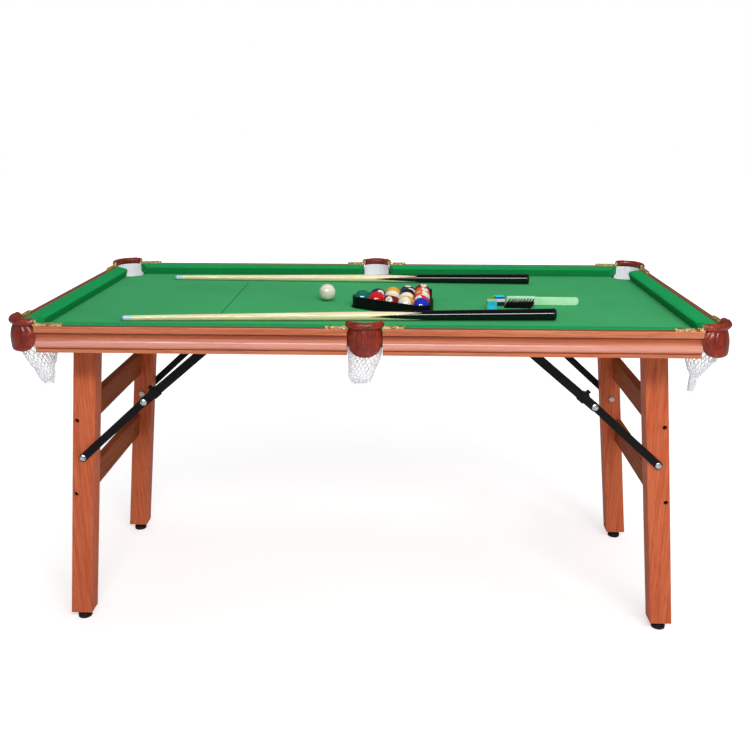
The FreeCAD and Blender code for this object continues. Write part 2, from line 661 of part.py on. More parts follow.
def brace_leg_bolt(bolt):
    """Domed bolt, washer and nut that carry the lower link on the leg."""
    x, z = bolt
    link_top = LOWER_LINK_Y + LINK_THICK
    body = dome((x, link_top + GAP, z), 7.0, 2.3)
    body = body.fuse(rod((x, LEG_INNER - 9, z), (x, link_top + GAP, z), BOLT))
    washer = rod((x, LEG_OUTER + GAP, z), (x, LOWER_LINK_Y - GAP, z), 8.0)
    washer = washer.cut(rod((x, LEG_OUTER - 1, z), (x, LOWER_LINK_Y + 1, z), BOLT + GAP))
    nut = hexagon((x, LEG_INNER - GAP, z), 13.0, -6.5)
    nut = nut.cut(rod((x, LEG_INNER - 10, z), (x, LEG_INNER + 1, z), BOLT + GAP))
    return [body, washer, nut]


def knuckle_pin(knuckle):
    """The knuckle's rivet: fixed in the upper link, its inner flange facing the lower link."""
    x, z = knuckle
    link_top = UPPER_LINK_Y + LINK_THICK
    flange = rod((x, UPPER_LINK_Y - 2.3, z), (x, UPPER_LINK_Y - GAP, z), 6.5)
    shank = rod((x, UPPER_LINK_Y - 1, z), (x, link_top + 1, z), BOLT)
    return fuse([flange, shank, dome((x, link_top + GAP, z), 7.0, 2.6)])


def plate_holes(x, places):
    """Holes for the screws through a bracket's plate."""
    return [rod((x + dx, y, BOARD_BOTTOM - 3), (x + dx, y, BOARD_BOTTOM + 1), SCREW + 0.2) for dx, y in places]


def brace_bracket():
    """An angle bracket under the bed whose ear hangs outboard of the upper link."""
    x, z = BRACE_TOP
    plate_half = 20.0
    ear = 13.0
    ear_low = UPPER_LINK_Y + LINK_THICK + 0.2
    ear_high = ear_low + LINK_THICK
    plate = box((x - plate_half, 233, BOARD_BOTTOM - PLATE), (x + plate_half, ear_high, BOARD_BOTTOM - GAP))
    pieces = [plate, box((x - ear, ear_low, z), (x + ear, ear_high, BOARD_BOTTOM - 1))]
    pieces.append(rod((x, ear_low, z), (x, ear_high, z), ear))
    holes = [rod((x, ear_low - 1, z), (x, ear_high + 1, z), BOLT + GAP)]
    holes += plate_holes(x, BRACE_BRACKET_SCREWS)
    return fuse(pieces).cut(Part.makeCompound(holes))


def brace_top_pin():
    """The shouldered rivet that carries the upper link on its bracket."""
    x, z = BRACE_TOP
    ear_high = UPPER_LINK_Y + 2 * LINK_THICK + 0.2
    shank = rod((x, UPPER_LINK_Y + 0.1, z), (x, ear_high + 1, z), BOLT)
    return shank.fuse(dome((x, ear_high + GAP, z), 7.0, 2.6))


def leg_bracket():
    """A folded U bracket under the bed, one ear each side of the leg."""
    x, z = PIVOT
    plate_half = 32.0
    ear = 17.0
    low = LEG_INNER - 0.15
    high = LEG_OUTER + 0.15
    plate_low = (x - plate_half, low - 20, BOARD_BOTTOM - PLATE)
    pieces = [box(plate_low, (x + plate_half, high + 20, BOARD_BOTTOM - GAP))]
    for ear_low in (low - PLATE, high):
        pieces.append(box((x - ear, ear_low, z), (x + ear, ear_low + PLATE, BOARD_BOTTOM - 1)))
        pieces.append(rod((x, ear_low, z), (x, ear_low + PLATE, z), ear))
    holes = [rod((x, low - 5, z), (x, high + 5, z), BOLT + GAP)]
    holes += plate_holes(x, LEG_BRACKET_SCREWS)
    return fuse(pieces).cut(Part.makeCompound(holes))


def leg_pivot_bolt():
    """The hex bolt and nut that a leg folds on."""
    x, z = PIVOT
    outer = LEG_OUTER + 2.15
    inner = LEG_INNER - 2.15
    bolt = hexagon((x, outer + GAP, z), 13.0, 4.5).fuse(rod((x, inner - 8, z), (x, outer + GAP, z), BOLT))
    nut = hexagon((x, inner - GAP, z), 13.0, -6.5)
    nut = nut.cut(rod((x, inner - 10, z), (x, inner + 1, z), BOLT + GAP))
    return [bolt, nut]


def make_legs():
    post = leg()
    bolt, knuckle, lower, upper = brace_points()
    lower_link = flat_bar(bolt, knuckle, LOWER_LINK_Y, LOWER_LINK_WIDE, BOLT + RUN, BOLT + 0.3)
    upper_link = flat_bar(knuckle, BRACE_TOP, UPPER_LINK_Y, UPPER_LINK_WIDE, BOLT + GAP, BOLT + RUN)
    fixings = []
    for height in STRETCHER_HEIGHTS:
        fixings += stretcher_fixing(height)
    for side, place in (("right", lambda shape: shape), ("left", flip_x)):
        save("leg_rear_" + side, [place(post)])
        save("leg_front_" + side, [place(flip_y(post))])
        for level, height in zip(("upper", "lower"), STRETCHER_HEIGHTS):
            save("stretcher_%s_%s" % (level, side), [place(stretcher(height))])
        save("stretcher_bolts_" + side, [place(s) for f in fixings for s in both_y(f)])
        save("brace_leg_bolts_" + side, [place(s) for p in brace_leg_bolt(bolt) for s in both_y(p)])
        save("brace_lower_links_" + side, [place(s) for s in both_y(lower_link)])
        save("brace_upper_links_" + side, [place(s) for s in both_y(upper_link)])
        save("knuckle_pins_" + side, [place(s) for s in both_y(knuckle_pin(knuckle))])
        save("brace_catches_" + side, [place(s) for s in both_y(catch(knuckle))])
        save("foot_rear_" + side, [place(foot())])
        save("foot_front_" + side, [place(flip_y(foot()))])
    save("leg_brackets", four(leg_bracket()))
    save("leg_pivot_bolts", [s for p in leg_pivot_bolt() for s in four(p)])
    save("brace_brackets", four(brace_bracket()))
    save("brace_top_pins", four(brace_top_pin()))
    screws = []
    for x, y in bracket_screw_places():
        screws += four(bracket_screw(x, y))
    save("bracket_screws", screws)


# ---- playing set, lying on the bed ----
def cue(tip, butt_angle):
    """A two-tone cue lying on the cloth, with its tip at X, Y and its butt along butt_angle."""
    grow = (CUE_BUTT - CUE_TIP) / CUE_LENGTH

    def radius(x):
        return CUE_TIP + grow * x

    def length_of(start, end):
        return cone((start, 0, 0), (end - GAP, 0, 0), radius(start), radius(end))

    pieces = [length_of(start, end) for start, end in zip(CUE_LENGTHS, CUE_LENGTHS[1:])]
    bumper = length_of(CUE_LENGTHS[-1], CUE_LENGTH)
    ends = [e for e in bumper.Edges if e.BoundBox.XMin > CUE_LENGTH - 1]
    pieces.append(bumper.makeFillet(4.0, ends))
    tilt = degrees(atan(grow))
    placed = []
    for piece in pieces:
        piece = turn(piece, (0, 0, 0), (0, 1, 0), -tilt)
        piece = turn(piece, (0, 0, 0), (0, 0, 1), butt_angle)
        placed.append(moved(piece, (tip[0], tip[1], ON_CLOTH + CUE_TIP / cos(radians(tilt)))))
    return placed


def ball_centres():
    """The racked balls, row by row from the apex."""
    near = radians(RACK_TURN - 30)
    far = radians(RACK_TURN + 30)
    centres = []
    for row in range(5):
        for place in range(row + 1):
            x = APEX_BALL[0] + BALL_PITCH * ((row - place) * cos(near) + place * cos(far))
            y = APEX_BALL[1] + BALL_PITCH * ((row - place) * sin(near) + place * sin(far))
            centres.append((x, y))
    return centres


def ball(x, y):
    return Part.makeSphere(BALL, V(x, y, ON_CLOTH + BALL))


RACK_WALL = 3.0
RACK_TALL = 25.0
RACK_FLANGE = 3.0


def rack():
    """A moulded triangle round the balls, with a thin flange at its foot."""
    centres = ball_centres()
    corners = [centres[0], centres[10], centres[14]]
    spine = Part.makePolygon([V(x, y, ON_CLOTH) for x, y in corners + corners[:1]])

    def slab(offset, height):
        return Part.Face(spine.makeOffset2D(offset)).extrude(V(0, 0, height))

    inner = BALL + 0.6
    wall = slab(inner + RACK_WALL, RACK_TALL)
    flange = slab(inner + RACK_WALL + RACK_FLANGE, 2.0)
    return wall.fuse(flange).cut(slab(inner, RACK_TALL + 1)).removeSplitter()


CHALK = 21.0               # side of a chalk cube
HOLLOW = 14.0              # radius of the ball-shaped hollow worn in it
HOLLOW_DEEP = 1.5


def chalk(x, y, turn_by, on_side):
    """A chalk cube with a hollow worn in one face: the top, or the front if it lies on its side."""
    half = CHALK / 2
    cube = box((x - half, y - half, ON_CLOTH), (x + half, y + half, ON_CLOTH + CHALK))
    worn = (x, y, ON_CLOTH + CHALK + HOLLOW - HOLLOW_DEEP)
    # the sphere's seam and poles are kept out of the cube
    hollow = turn(Part.makeSphere(HOLLOW, V(*worn), V(0, 1, 0)), worn, (0, 1, 0), 90)
    cube = cube.makeFillet(0.8, cube.Edges).cut(hollow)
    centre = (x, y, ON_CLOTH + half)
    if on_side:
        cube = turn(cube, centre, (1, 0, 0), 90)
    return turn(cube, centre, (0, 0, 1), turn_by)


BRUSH_FACE = -40.0         # Y of the face that the bristles grow from
BRUSH_ENDS = (303.0, 469.0)
BRUSH_HEAD = 69.0          # length of the part with bristles
BRISTLE_LONG = 24.0
BACK_THICK = 9.0
HANDLE_THICK = 8.0
HEAD_TALL = 20.0
HANDLE_TALL = 18.0


def brush():
    """A table brush lying on its long edge, bristles to the front: a moulded back with a handle."""
    start, end = BRUSH_ENDS
    head_end = start + BRUSH_HEAD
    handle_face = BRUSH_FACE + (BACK_THICK - HANDLE_THICK) / 2
    back = box((start, BRUSH_FACE, ON_CLOTH), (head_end, BRUSH_FACE + BACK_THICK, ON_CLOTH + HEAD_TALL))
    handle_high = (end, handle_face + HANDLE_THICK, ON_CLOTH + HANDLE_TALL)
    handle = box((head_end - 6, handle_face, ON_CLOTH), handle_high)
    back = back.makeFillet(4.0, [e for e in back.Edges if 5 < e.BoundBox.YLength < 10])
    handle = handle.makeFillet(5.0, [e for e in handle.Edges if 5 < e.BoundBox.YLength < 10])
    bristles_high = (head_end - 3, BRUSH_FACE - GAP, ON_CLOTH + HEAD_TALL - 1.5)
    bristles = box((start + 3, BRUSH_FACE - BRISTLE_LONG, ON_CLOTH + 0.5), bristles_high)
    return [fuse([back, handle]), bristles]


def make_playing_set():
    save("cue_front", cue((-518.0, -216.0), degrees(atan(38.0 / 911.0))))
    save("cue_rear", cue((-522.0, 238.0), degrees(atan(-28.0 / 912.0))))
    save("cue_ball", [ball(-103.0, 0.0)])
    save("object_balls", [ball(x, y) for x, y in ball_centres()])
    save("rack", [rack()])
    save("chalk_cubes", [chalk(269.5, -80.5, 0, True), chalk(291.0, -38.0, 8, False)])
    save("brush", brush())


make_rails()
make_bed()
make_pockets()
make_legs()
make_playing_set()
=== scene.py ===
import random
from collections import namedtuple
from math import cos, pi, radians, sin, sqrt, tan

import bmesh
import bpy
from mathutils import Matrix, Vector
from mathutils.noise import noise


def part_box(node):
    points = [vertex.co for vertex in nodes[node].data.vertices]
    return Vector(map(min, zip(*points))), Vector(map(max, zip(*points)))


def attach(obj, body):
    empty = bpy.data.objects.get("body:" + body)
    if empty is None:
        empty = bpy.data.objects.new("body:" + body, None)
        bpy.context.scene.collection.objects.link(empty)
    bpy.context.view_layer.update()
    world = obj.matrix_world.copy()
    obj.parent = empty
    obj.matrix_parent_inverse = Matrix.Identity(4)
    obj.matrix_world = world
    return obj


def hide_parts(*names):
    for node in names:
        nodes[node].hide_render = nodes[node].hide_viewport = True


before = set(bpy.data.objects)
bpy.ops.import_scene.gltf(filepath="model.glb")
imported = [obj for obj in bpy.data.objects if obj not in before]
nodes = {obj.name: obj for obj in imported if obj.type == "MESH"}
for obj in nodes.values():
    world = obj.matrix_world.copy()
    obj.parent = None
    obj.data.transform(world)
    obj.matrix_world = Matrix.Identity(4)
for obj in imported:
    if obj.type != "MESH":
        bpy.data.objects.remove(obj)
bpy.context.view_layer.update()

# A folding mini pool table with its playing set. Metres, in the frame of the CAD model.
# Wood, steel, the rack, the chalk and the bed keep their CAD shapes and get materials here. The
# cushions, leathers, nets, brass relief, balls, cues and brush are modelled here.

scene = bpy.context.scene

# ---- places from the frame ----
side_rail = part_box("rail_rear_right")
end_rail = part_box("rail_end_right")
HALF_LENGTH = end_rail[1].x
HALF_WIDTH = side_rail[1].y
RAIL_TOP = side_rail[1].z
RAIL_BOTTOM = side_rail[0].z
MIDDLE_CUT = side_rail[0].x
SIDE_CUT = side_rail[1].x
END_CUT = end_rail[1].y
CLOTH_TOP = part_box("bed_cloth")[1].z
BED_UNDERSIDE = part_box("bed_board")[0].z

# ---- sizes of the soft parts ----
cushion_low, cushion_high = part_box("cushion_rear_right")
STRIP = HALF_WIDTH - cushion_high.y
NOSE = HALF_WIDTH - cushion_low.y
CUSHION_TOP = cushion_high.z
CORNER_SETBACK = 0.025      # cushion nose back from the rail's end at a corner pocket
MIDDLE_SETBACK = 0.009
CORNER = (0.659, 0.315)     # centre of a corner pocket
MIDDLE_Y = 0.331
CORNER_RING = 0.041         # radius of the pocket iron's ring
MIDDLE_RING = 0.038
RING_HIGH = 0.007           # the ring's height above the rail
ROLL = 0.0072               # radius of the leather roll round the ring
LEATHER_THICK = 0.0018
HEAD_LINE = -0.323          # X of the line drawn on the cloth
HEAD_LINE_REACH = 0.205
IRON_ARM_IN = 0.0065        # rail's outer face to the middle of a pocket iron's arm
IRON_ARM_HALF = 0.005
IRON_ARM_TOP = RAIL_TOP + 0.004
CORNER_ARM_X = (0.592, 0.640)
CORNER_ARM_Y = (0.245, 0.295)
MIDDLE_ARM_X = (0.038, 0.075)
IRON_SCREWS_X = (0.049, 0.068, 0.602, 0.629)
IRON_SCREWS_Y = (0.255, 0.282)
BALL = (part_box("cue_ball")[1].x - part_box("cue_ball")[0].x) / 2
ROWS = (("front", -1), ("rear", 1))
SIDES = (("left", -1), ("right", 1))


def corner_facing(across, along):
    """The direction out of the table at a corner pocket, in degrees."""
    return 45 * across if along > 0 else 180 - 45 * across


def corner_centre(across, along):
    return along * CORNER[0], across * CORNER[1]


# ---- node materials ----
def srgb(red, green, blue):
    """An 8-bit screen colour as the linear colour that a shader takes."""
    channels = []
    for value in (red, green, blue):
        value /= 255
        channels.append(value / 12.92 if value <= 0.04045 else ((value + 0.055) / 1.055) ** 2.4)
    return (*channels, 1.0)


def scaled(colour, factor):
    """The colour made darker or lighter by a factor."""
    return tuple(min(1, factor * channel) for channel in colour[:3]) + (1,)


INPUT_NAMES = {"color": "Base Color", "specular": "Specular IOR Level"}


class Nodes:
    """A tree of nodes, with short calls for adding and linking them."""

    def __init__(self, owner):
        owner.use_nodes = True
        self.tree = owner.node_tree

    def put(self, socket, value):
        if isinstance(value, bpy.types.NodeSocket):
            self.tree.links.new(value, socket)
        else:
            socket.default_value = value

    def add(self, kind, inputs=(), **settings):
        """A new node. settings are its options; inputs holds a value or a socket for each input."""
        node = self.tree.nodes.new(kind)
        for key, value in settings.items():
            setattr(node, key, value)
        for key, value in dict(inputs).items():
            self.put(node.inputs[key], value)
        return node

    def fade(self, factor, low, high, to_low=0.0, to_high=1.0):
        """factor from low to high becomes to_low to to_high, held at the ends."""
        inputs = {0: factor, 1: low, 2: high, 3: to_low, 4: to_high}
        return self.add("ShaderNodeMapRange", inputs).outputs[0]


class Paint(Nodes):
    """A node material under construction, with short calls for the nodes used here."""

    def __init__(self, name, **inputs):
        self.material = bpy.data.materials.new(name)
        super().__init__(self.material)
        self.shader = self.tree.nodes["Principled BSDF"]
        self.surface = self.add("ShaderNodeTexCoord").outputs
        self.coords = self.surface["Object"]
        self.set(**inputs)

    def set(self, **inputs):
        """Sets inputs of the shader: coat_weight is its "Coat Weight", and so on."""
        for key, value in inputs.items():
            title = INPUT_NAMES.get(key, key.replace("_", " ").title())
            self.put(self.shader.inputs[title], value)

    def mapped(self, scale, turn=(0, 0, 0), source=None):
        inputs = {"Vector": source or self.coords, "Scale": scale, "Rotation": turn}
        return self.add("ShaderNodeMapping", inputs).outputs[0]

    def noise(self, scale, detail=4.0, rough=0.5, source=None, warp=0.0):
        inputs = {"Vector": source or self.coords, "Scale": scale, "Detail": detail,
                  "Roughness": rough, "Distortion": warp}
        return self.add("ShaderNodeTexNoise", inputs).outputs["Fac"]

    def cells(self, scale, feature):
        inputs = {"Vector": self.coords, "Scale": scale}
        return self.add("ShaderNodeTexVoronoi", inputs, feature=feature).outputs["Distance"]

    def math(self, operation, a, b=0.0, c=0.0):
        return self.add("ShaderNodeMath", {0: a, 1: b, 2: c}, operation=operation).outputs[0]

    def axis(self, name, source=None):
        return self.add("ShaderNodeSeparateXYZ", {0: source or self.coords}).outputs[name]

    def length(self, x, y):
        flat = self.add("ShaderNodeCombineXYZ", {"X": x, "Y": y}).outputs[0]
        return self.add("ShaderNodeVectorMath", {0: flat}, operation="LENGTH").outputs["Value"]

    def ramp(self, factor, *stops):
        """stops are (position, colour) pairs."""
        node = self.add("ShaderNodeValToRGB", {0: factor})
        elements = node.color_ramp.elements
        while len(elements) < len(stops):
            elements.new(0.5)
        for element, (position, colour) in zip(elements, stops):
            element.position = position
            element.color = colour
        return node.outputs["Color"]

    def mix(self, factor, a, b, blend="MIX"):
        inputs = {0: factor, 6: a, 7: b}
        return self.add("ShaderNodeMix", inputs, data_type="RGBA", blend_type=blend).outputs[2]

    def facing(self):
        """The surface's normal in the object's own axes, as (x, y, z) sockets."""
        return self.add("ShaderNodeSeparateXYZ", {0: self.surface["Normal"]}).outputs

    def bump(self, height, deep, soft_edges=0.0):
        """height is 0 to 1 and deep is its full depth in metres."""
        inputs = {"Strength": 1.0, "Distance": deep, "Height": height}
        if soft_edges:
            edge = self.add("ShaderNodeBevel", {"Radius": soft_edges}, samples=4)
            inputs["Normal"] = edge.outputs[0]
        self.put(self.shader.inputs["Normal"], self.add("ShaderNodeBump", inputs).outputs[0])


GRAIN_TURN = {"x": (0, pi / 2, 0), "y": (pi / 2, 0, 0), "z": (0, 0, 0)}


def wood(name, grain, tones, heart, ring_gap=0.006, warp=0.012, roughness=0.36, coat=0.3, gloss=0.35,
         recolour=None):
    """Lacquered wood. heart is the place, across the grain, that the growth rings go round.

    recolour is a function that changes the plain wood's colour: painted shade and a painted highlight on a
    rail, the wrapped cloth on the bed board.
    """
    dark, middle, light = tones
    paint = Paint(name, coat_weight=coat, coat_roughness=0.14, specular=gloss)
    straight = paint.mapped((1, 1, 1), GRAIN_TURN[grain])
    fibres = paint.mapped((1, 1, 0.07), source=straight)
    swirl = paint.noise(16, 3, 0.55, source=paint.mapped((1, 1, 0.1), source=straight))
    x = paint.math("SUBTRACT", paint.axis("X", straight), heart[0])
    y = paint.math("SUBTRACT", paint.axis("Y", straight), heart[1])
    drift = paint.math("MULTIPLY_ADD", paint.noise(1.3, 1, source=straight), 0.12, -0.06)
    reach = paint.length(paint.math("ADD", x, drift), y)
    reach = paint.math("MULTIPLY_ADD", swirl, warp, reach)
    ring = paint.math("FRACT", paint.math("DIVIDE", reach, ring_gap))
    ring = paint.math("POWER", ring, 1.8)
    streak = paint.noise(210, 4, 0.6, source=paint.mapped((1, 1, 0.035), source=straight))
    broad = paint.noise(24, 2, 0.5, source=fibres)
    pores = paint.fade(paint.noise(420, 2, 0.5, source=fibres), 0.34, 0.44, 1.0, 0.0)
    tone = paint.math("MULTIPLY_ADD", ring, -0.09, paint.fade(streak, 0.25, 0.75, 0.22, 0.74))
    tone = paint.math("MULTIPLY_ADD", broad, 0.34, tone)
    colour = paint.ramp(tone, (0.10, dark), (0.54, middle), (0.98, light))
    colour = paint.mix(paint.math("MULTIPLY", pores, 0.32), colour, dark)
    if recolour:
        colour = recolour(paint, colour, streak)
    paint.set(color=colour, roughness=paint.fade(streak, 0.2, 0.8, roughness + 0.1, roughness))
    paint.bump(paint.math("MULTIPLY_ADD", pores, -0.8, streak), 0.00006, soft_edges=0.0007)
    return paint.material


def rail_stain(paint, colour, streak):
    """Painted shade in a rail's cove, under its step and under its bead, and a painted highlight along its
    bead; its top is a darker brown.
    """
    level = paint.fade(paint.axis("Z"), RAIL_BOTTOM, RAIL_TOP)
    # painted shade: darker in the cove, with a painted shadow under the step and a dark line under the
    # bead
    painted_shade = paint.ramp(level, (0.0, UNSHADED), (0.12, UNSHADED), (0.15, RECESS_PAINTED_SHADE), (0.19, UNSHADED),
                       (0.46, UNSHADED), (0.64, RECESS_PAINTED_SHADE), (0.742, STEP_PAINTED_SHADOW), (0.757, UNSHADED))
    colour = paint.mix(1.0, colour, painted_shade, "MULTIPLY")
    # a painted highlight along the bead, broken up by the grain
    bead_highlight = paint.math("MULTIPLY", paint.fade(level, 0.19, 0.28), paint.fade(level, 0.52, 0.35))
    bead_highlight = paint.math("MULTIPLY", bead_highlight, paint.fade(streak, 0.2, 0.8, 0.45, 0.75))
    colour = paint.mix(bead_highlight, colour, BEAD_PAINTED_HIGHLIGHT)
    top = paint.mix(streak, scaled(RAIL_TOP_TONE, 0.8), RAIL_TOP_TONE)
    return paint.mix(paint.fade(paint.facing()[2], 0.8, 0.95), colour, top)


def wrapped_edge(paint, colour, streak):
    """The cloth is pulled down over the bed board's edges, where they are seen inside the pockets."""
    cloth = paint.mix(streak, srgb(14, 84, 44), srgb(24, 116, 62))
    return paint.mix(paint.fade(paint.math("ABSOLUTE", paint.facing()[2]), 0.5, 0.3), colour, cloth)


def felt(name, base, head_line=False):
    """Napped cloth: short fibres, a nap brushed along X, and broad clouds."""
    paint = Paint(name, roughness=0.92, specular=0.1)
    fibres = paint.noise(2600, 3, 0.7)
    nap = paint.noise(420, 3, 0.6, source=paint.mapped((0.25, 1, 1)))
    cloud = paint.noise(5, 2, 0.5)
    light = scaled(base, 1.22)
    tone = paint.math("MULTIPLY_ADD", cloud, 0.35, paint.math("MULTIPLY", fibres, 0.35))
    tone = paint.math("MULTIPLY_ADD", nap, 0.3, tone)
    colour = paint.ramp(tone, (0.30, scaled(base, 0.80)), (0.5, base), (0.72, light))
    if head_line:
        off = paint.math("ABSOLUTE", paint.math("SUBTRACT", paint.axis("X"), HEAD_LINE))
        along = paint.math("LESS_THAN", paint.math("ABSOLUTE", paint.axis("Y")), HEAD_LINE_REACH)
        mark = paint.math("MULTIPLY", paint.fade(off, 0.0006, 0.0014, 1.0, 0.0), along)
        colour = paint.mix(mark, colour, srgb(12, 66, 36))
    paint.set(color=colour, sheen_weight=0.25, sheen_roughness=0.6, sheen_tint=light)
    paint.bump(paint.math("ADD", fibres, nap), 0.00025)
    return paint.material


def leather_paint():
    """Glossy red-brown leather with a fine pebble grain and creases."""
    paint = Paint("pocket_leather", coat_weight=0.6, coat_roughness=0.22, specular=0.2)
    grain = paint.cells(620, "DISTANCE_TO_EDGE")
    crease = paint.noise(70, 3, 0.5, warp=0.8)
    cloud = paint.noise(28, 3, 0.5)
    tone = paint.math("MULTIPLY_ADD", crease, 0.5, paint.math("MULTIPLY", cloud, 0.5))
    dark, middle, light = LEATHER_TONES
    colour = paint.ramp(tone, (0.30, dark), (0.52, middle), (0.72, light))
    paint.set(color=colour, roughness=paint.fade(cloud, 0.3, 0.7, 0.24, 0.38))
    pebbles = paint.fade(grain, 0.0, 0.18)
    paint.bump(paint.math("MULTIPLY_ADD", crease, 1.5, pebbles), 0.00016)
    return paint.material


def cotton(name, tint, twist):
    """White string, or the woven band that the net hangs from.

    The faint glow stands for light that passes through the thin cotton.
    """
    paint = Paint(name, roughness=0.85)
    strands = paint.noise(twist, 3, 0.6)
    weave = paint.cells(twist * 0.6, "F1")
    colour = paint.ramp(strands, (0.3, scaled(tint, 0.78)), (0.62, tint))
    paint.set(color=colour, emission_color=colour, emission_strength=0.12)
    paint.set(subsurface_weight=0.1, subsurface_radius=(0.001, 0.001, 0.001))
    paint.bump(paint.math("ADD", strands, weave), 0.0003)
    return paint.material


def metal(name, light, dark, roughness, hollow_scale):
    """Plated metal, darker in its hollows and finely scratched."""
    paint = Paint(name, metallic=1.0)
    hollows = paint.noise(hollow_scale, 3, 0.6)
    scratches = paint.noise(1500, 2, 0.5, source=paint.mapped((1, 0.06, 1)))
    paint.set(color=paint.ramp(hollows, (0.36, dark), (0.52, light)))
    paint.set(roughness=paint.fade(scratches, 0.3, 0.7, roughness, roughness + 0.16))
    paint.bump(hollows, 0.00003, soft_edges=0.0005)
    return paint.material


def brass_paint():
    """Stamped brass: rows of small leaves pressed along the arms, tarnish in the hollows."""
    paint = Paint("stamped_brass", metallic=0.6)
    leaves = paint.cells(190, "SMOOTH_F1")
    tarnish = paint.noise(330, 3, 0.6)
    hollow = paint.fade(paint.math("MULTIPLY_ADD", tarnish, 0.4, leaves), 0.45, 0.85)
    colour = paint.mix(hollow, srgb(255, 236, 172), srgb(158, 104, 34))
    paint.set(color=colour, roughness=paint.fade(hollow, 0, 1, 0.2, 0.5))
    paint.bump(paint.math("SUBTRACT", 1.0, hollow), 0.0009, soft_edges=0.0006)
    return paint.material


def moulded(name, base, roughness, shade=0.8, relief=0.00006, coat=0.0, specular=0.5):
    """Moulded plastic, rubber, or painted steel: a fine texture, and clouds as dark as shade."""
    paint = Paint(name, coat_weight=coat, coat_roughness=0.1, specular=specular)
    cloud = paint.noise(40, 3, 0.5)
    fine = paint.noise(1400, 2, 0.5)
    paint.set(color=paint.ramp(cloud, (0.35, scaled(base, shade)), (0.65, base)))
    paint.set(roughness=paint.fade(cloud, 0.3, 0.7, roughness, roughness + 0.12))
    paint.bump(fine, relief, soft_edges=0.0006)
    return paint.material


WARM_TONES = (srgb(156, 62, 30), srgb(205, 97, 57), srgb(228, 128, 84))
RAIL_TONES = (srgb(154, 70, 36), srgb(202, 109, 68), srgb(226, 143, 104))
# The stretchers' wood tones, made darker than the legs' as painted shade.
SHADED_STRETCHER_TONES = (srgb(96, 42, 14), srgb(152, 76, 34), srgb(182, 100, 54))
MAPLE_TONES = (srgb(232, 208, 156), srgb(250, 238, 200), srgb(254, 246, 218))
BOARD_TONES = (srgb(120, 92, 62), srgb(166, 132, 92), srgb(190, 160, 120))
LEATHER_TONES = (srgb(92, 22, 6), srgb(142, 42, 20), srgb(174, 66, 36))
RAIL_TOP_TONE = srgb(140, 72, 44)
# Painted light on the rails: a painted highlight along the bead, painted shade in the recesses, a painted
# shadow under the step.
BEAD_PAINTED_HIGHLIGHT = srgb(246, 178, 166)
UNSHADED = (1, 1, 1, 1)       # painted shade multiplies the wood's colour; white leaves it unshaded
RECESS_PAINTED_SHADE = (0.66, 0.44, 0.29, 1)
STEP_PAINTED_SHADOW = (0.40, 0.26, 0.18, 1)

FELT_BED = felt("felt_bed", srgb(62, 158, 98), head_line=True)
FELT_CUSHION = felt("felt_cushion", srgb(24, 148, 82))
LEATHER = leather_paint()
STRING = cotton("net_cotton", srgb(246, 248, 252), 1800)
TAPE = cotton("net_tape", srgb(238, 240, 246), 900)
BRASS = brass_paint()
ZINC = metal("zinc_plate", srgb(214, 216, 220), srgb(150, 152, 158), 0.22, 160)
BRIGHT_SCREW = metal("bright_screw", srgb(232, 214, 168), srgb(150, 120, 70), 0.25, 200)
BLACK_STEEL = moulded("black_enamel", srgb(6, 6, 9), 0.34, relief=0.00003, specular=0.2)
BLACK_PLASTIC = moulded("black_plastic", srgb(6, 6, 9), 0.36, specular=0.2)
RUBBER = moulded("foot_plastic", srgb(24, 24, 26), 0.5, specular=0.35)
BRISTLE = moulded("black_bristle", srgb(8, 6, 8), 0.55, specular=0.2)
MINT = moulded("mint_plastic", srgb(202, 255, 210), 0.35, shade=0.92, coat=0.2)


# ---- meshes ----
def add_object(name, data):
    """A new object in the scene."""
    thing = bpy.data.objects.new(name, data)
    scene.collection.objects.link(thing)
    return thing


def new_piece(name, bm, materials, replaced=(), body="table_top", smooth=38):
    """Turns a bmesh into a piece that rides on a body, smooth across edges under that angle."""
    bmesh.ops.recalc_face_normals(bm, faces=bm.faces)
    mesh = bpy.data.meshes.new(name)
    bm.to_mesh(mesh)
    bm.free()
    for material in materials:
        mesh.materials.append(material)
    mesh.shade_smooth()
    mesh.set_sharp_from_angle(angle=radians(smooth))
    piece = add_object(name, mesh)
    if replaced:
        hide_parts(*replaced)
    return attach(piece, body)


def skin(bm, rings):
    """Faces through closed rings of points, with a cap at each end."""
    loops = [[bm.verts.new(point) for point in ring] for ring in rings]
    for a, b in zip(loops, loops[1:]):
        for face in zip(a, a[1:] + a[:1], b[1:] + b[:1], b):
            bm.faces.new(face)
    bm.faces.new(loops[0][::-1])
    bm.faces.new(loops[-1])


ARC_STEPS = 5               # points along each rounded corner


def rounded(corners):
    """A closed outline through (x, y, radius) corners, each one turned into an arc."""
    outline = []
    for i, (x, y, radius) in enumerate(corners):
        here = Vector((x, y))
        before = (Vector(corners[i - 1][:2]) - here).normalized()
        after = (Vector(corners[(i + 1) % len(corners)][:2]) - here).normalized()
        reach = radius / tan(before.angle(after) / 2)
        start = here + before * reach
        end = here + after * reach
        for k in range(ARC_STEPS + 1):
            t = k / ARC_STEPS
            outline.append((1 - t) ** 2 * start + 2 * t * (1 - t) * here + t ** 2 * end)
    return outline


TUBE_SIDEWAYS = Vector((0.31, 0.17, 0.93))     # a direction that no string runs along


def tube(bm, points, radius, sides=5):
    """A round string through points."""
    rings = []
    for i, point in enumerate(points):
        ahead = points[min(i + 1, len(points) - 1)] - points[max(i - 1, 0)]
        across = ahead.cross(TUBE_SIDEWAYS).normalized()
        over = across.cross(ahead).normalized()
        ring = []
        for k in range(sides):
            angle = 2 * pi * k / sides
            ring.append(point + radius * (cos(angle) * across + sin(angle) * over))
        rings.append(ring)
    skin(bm, rings)


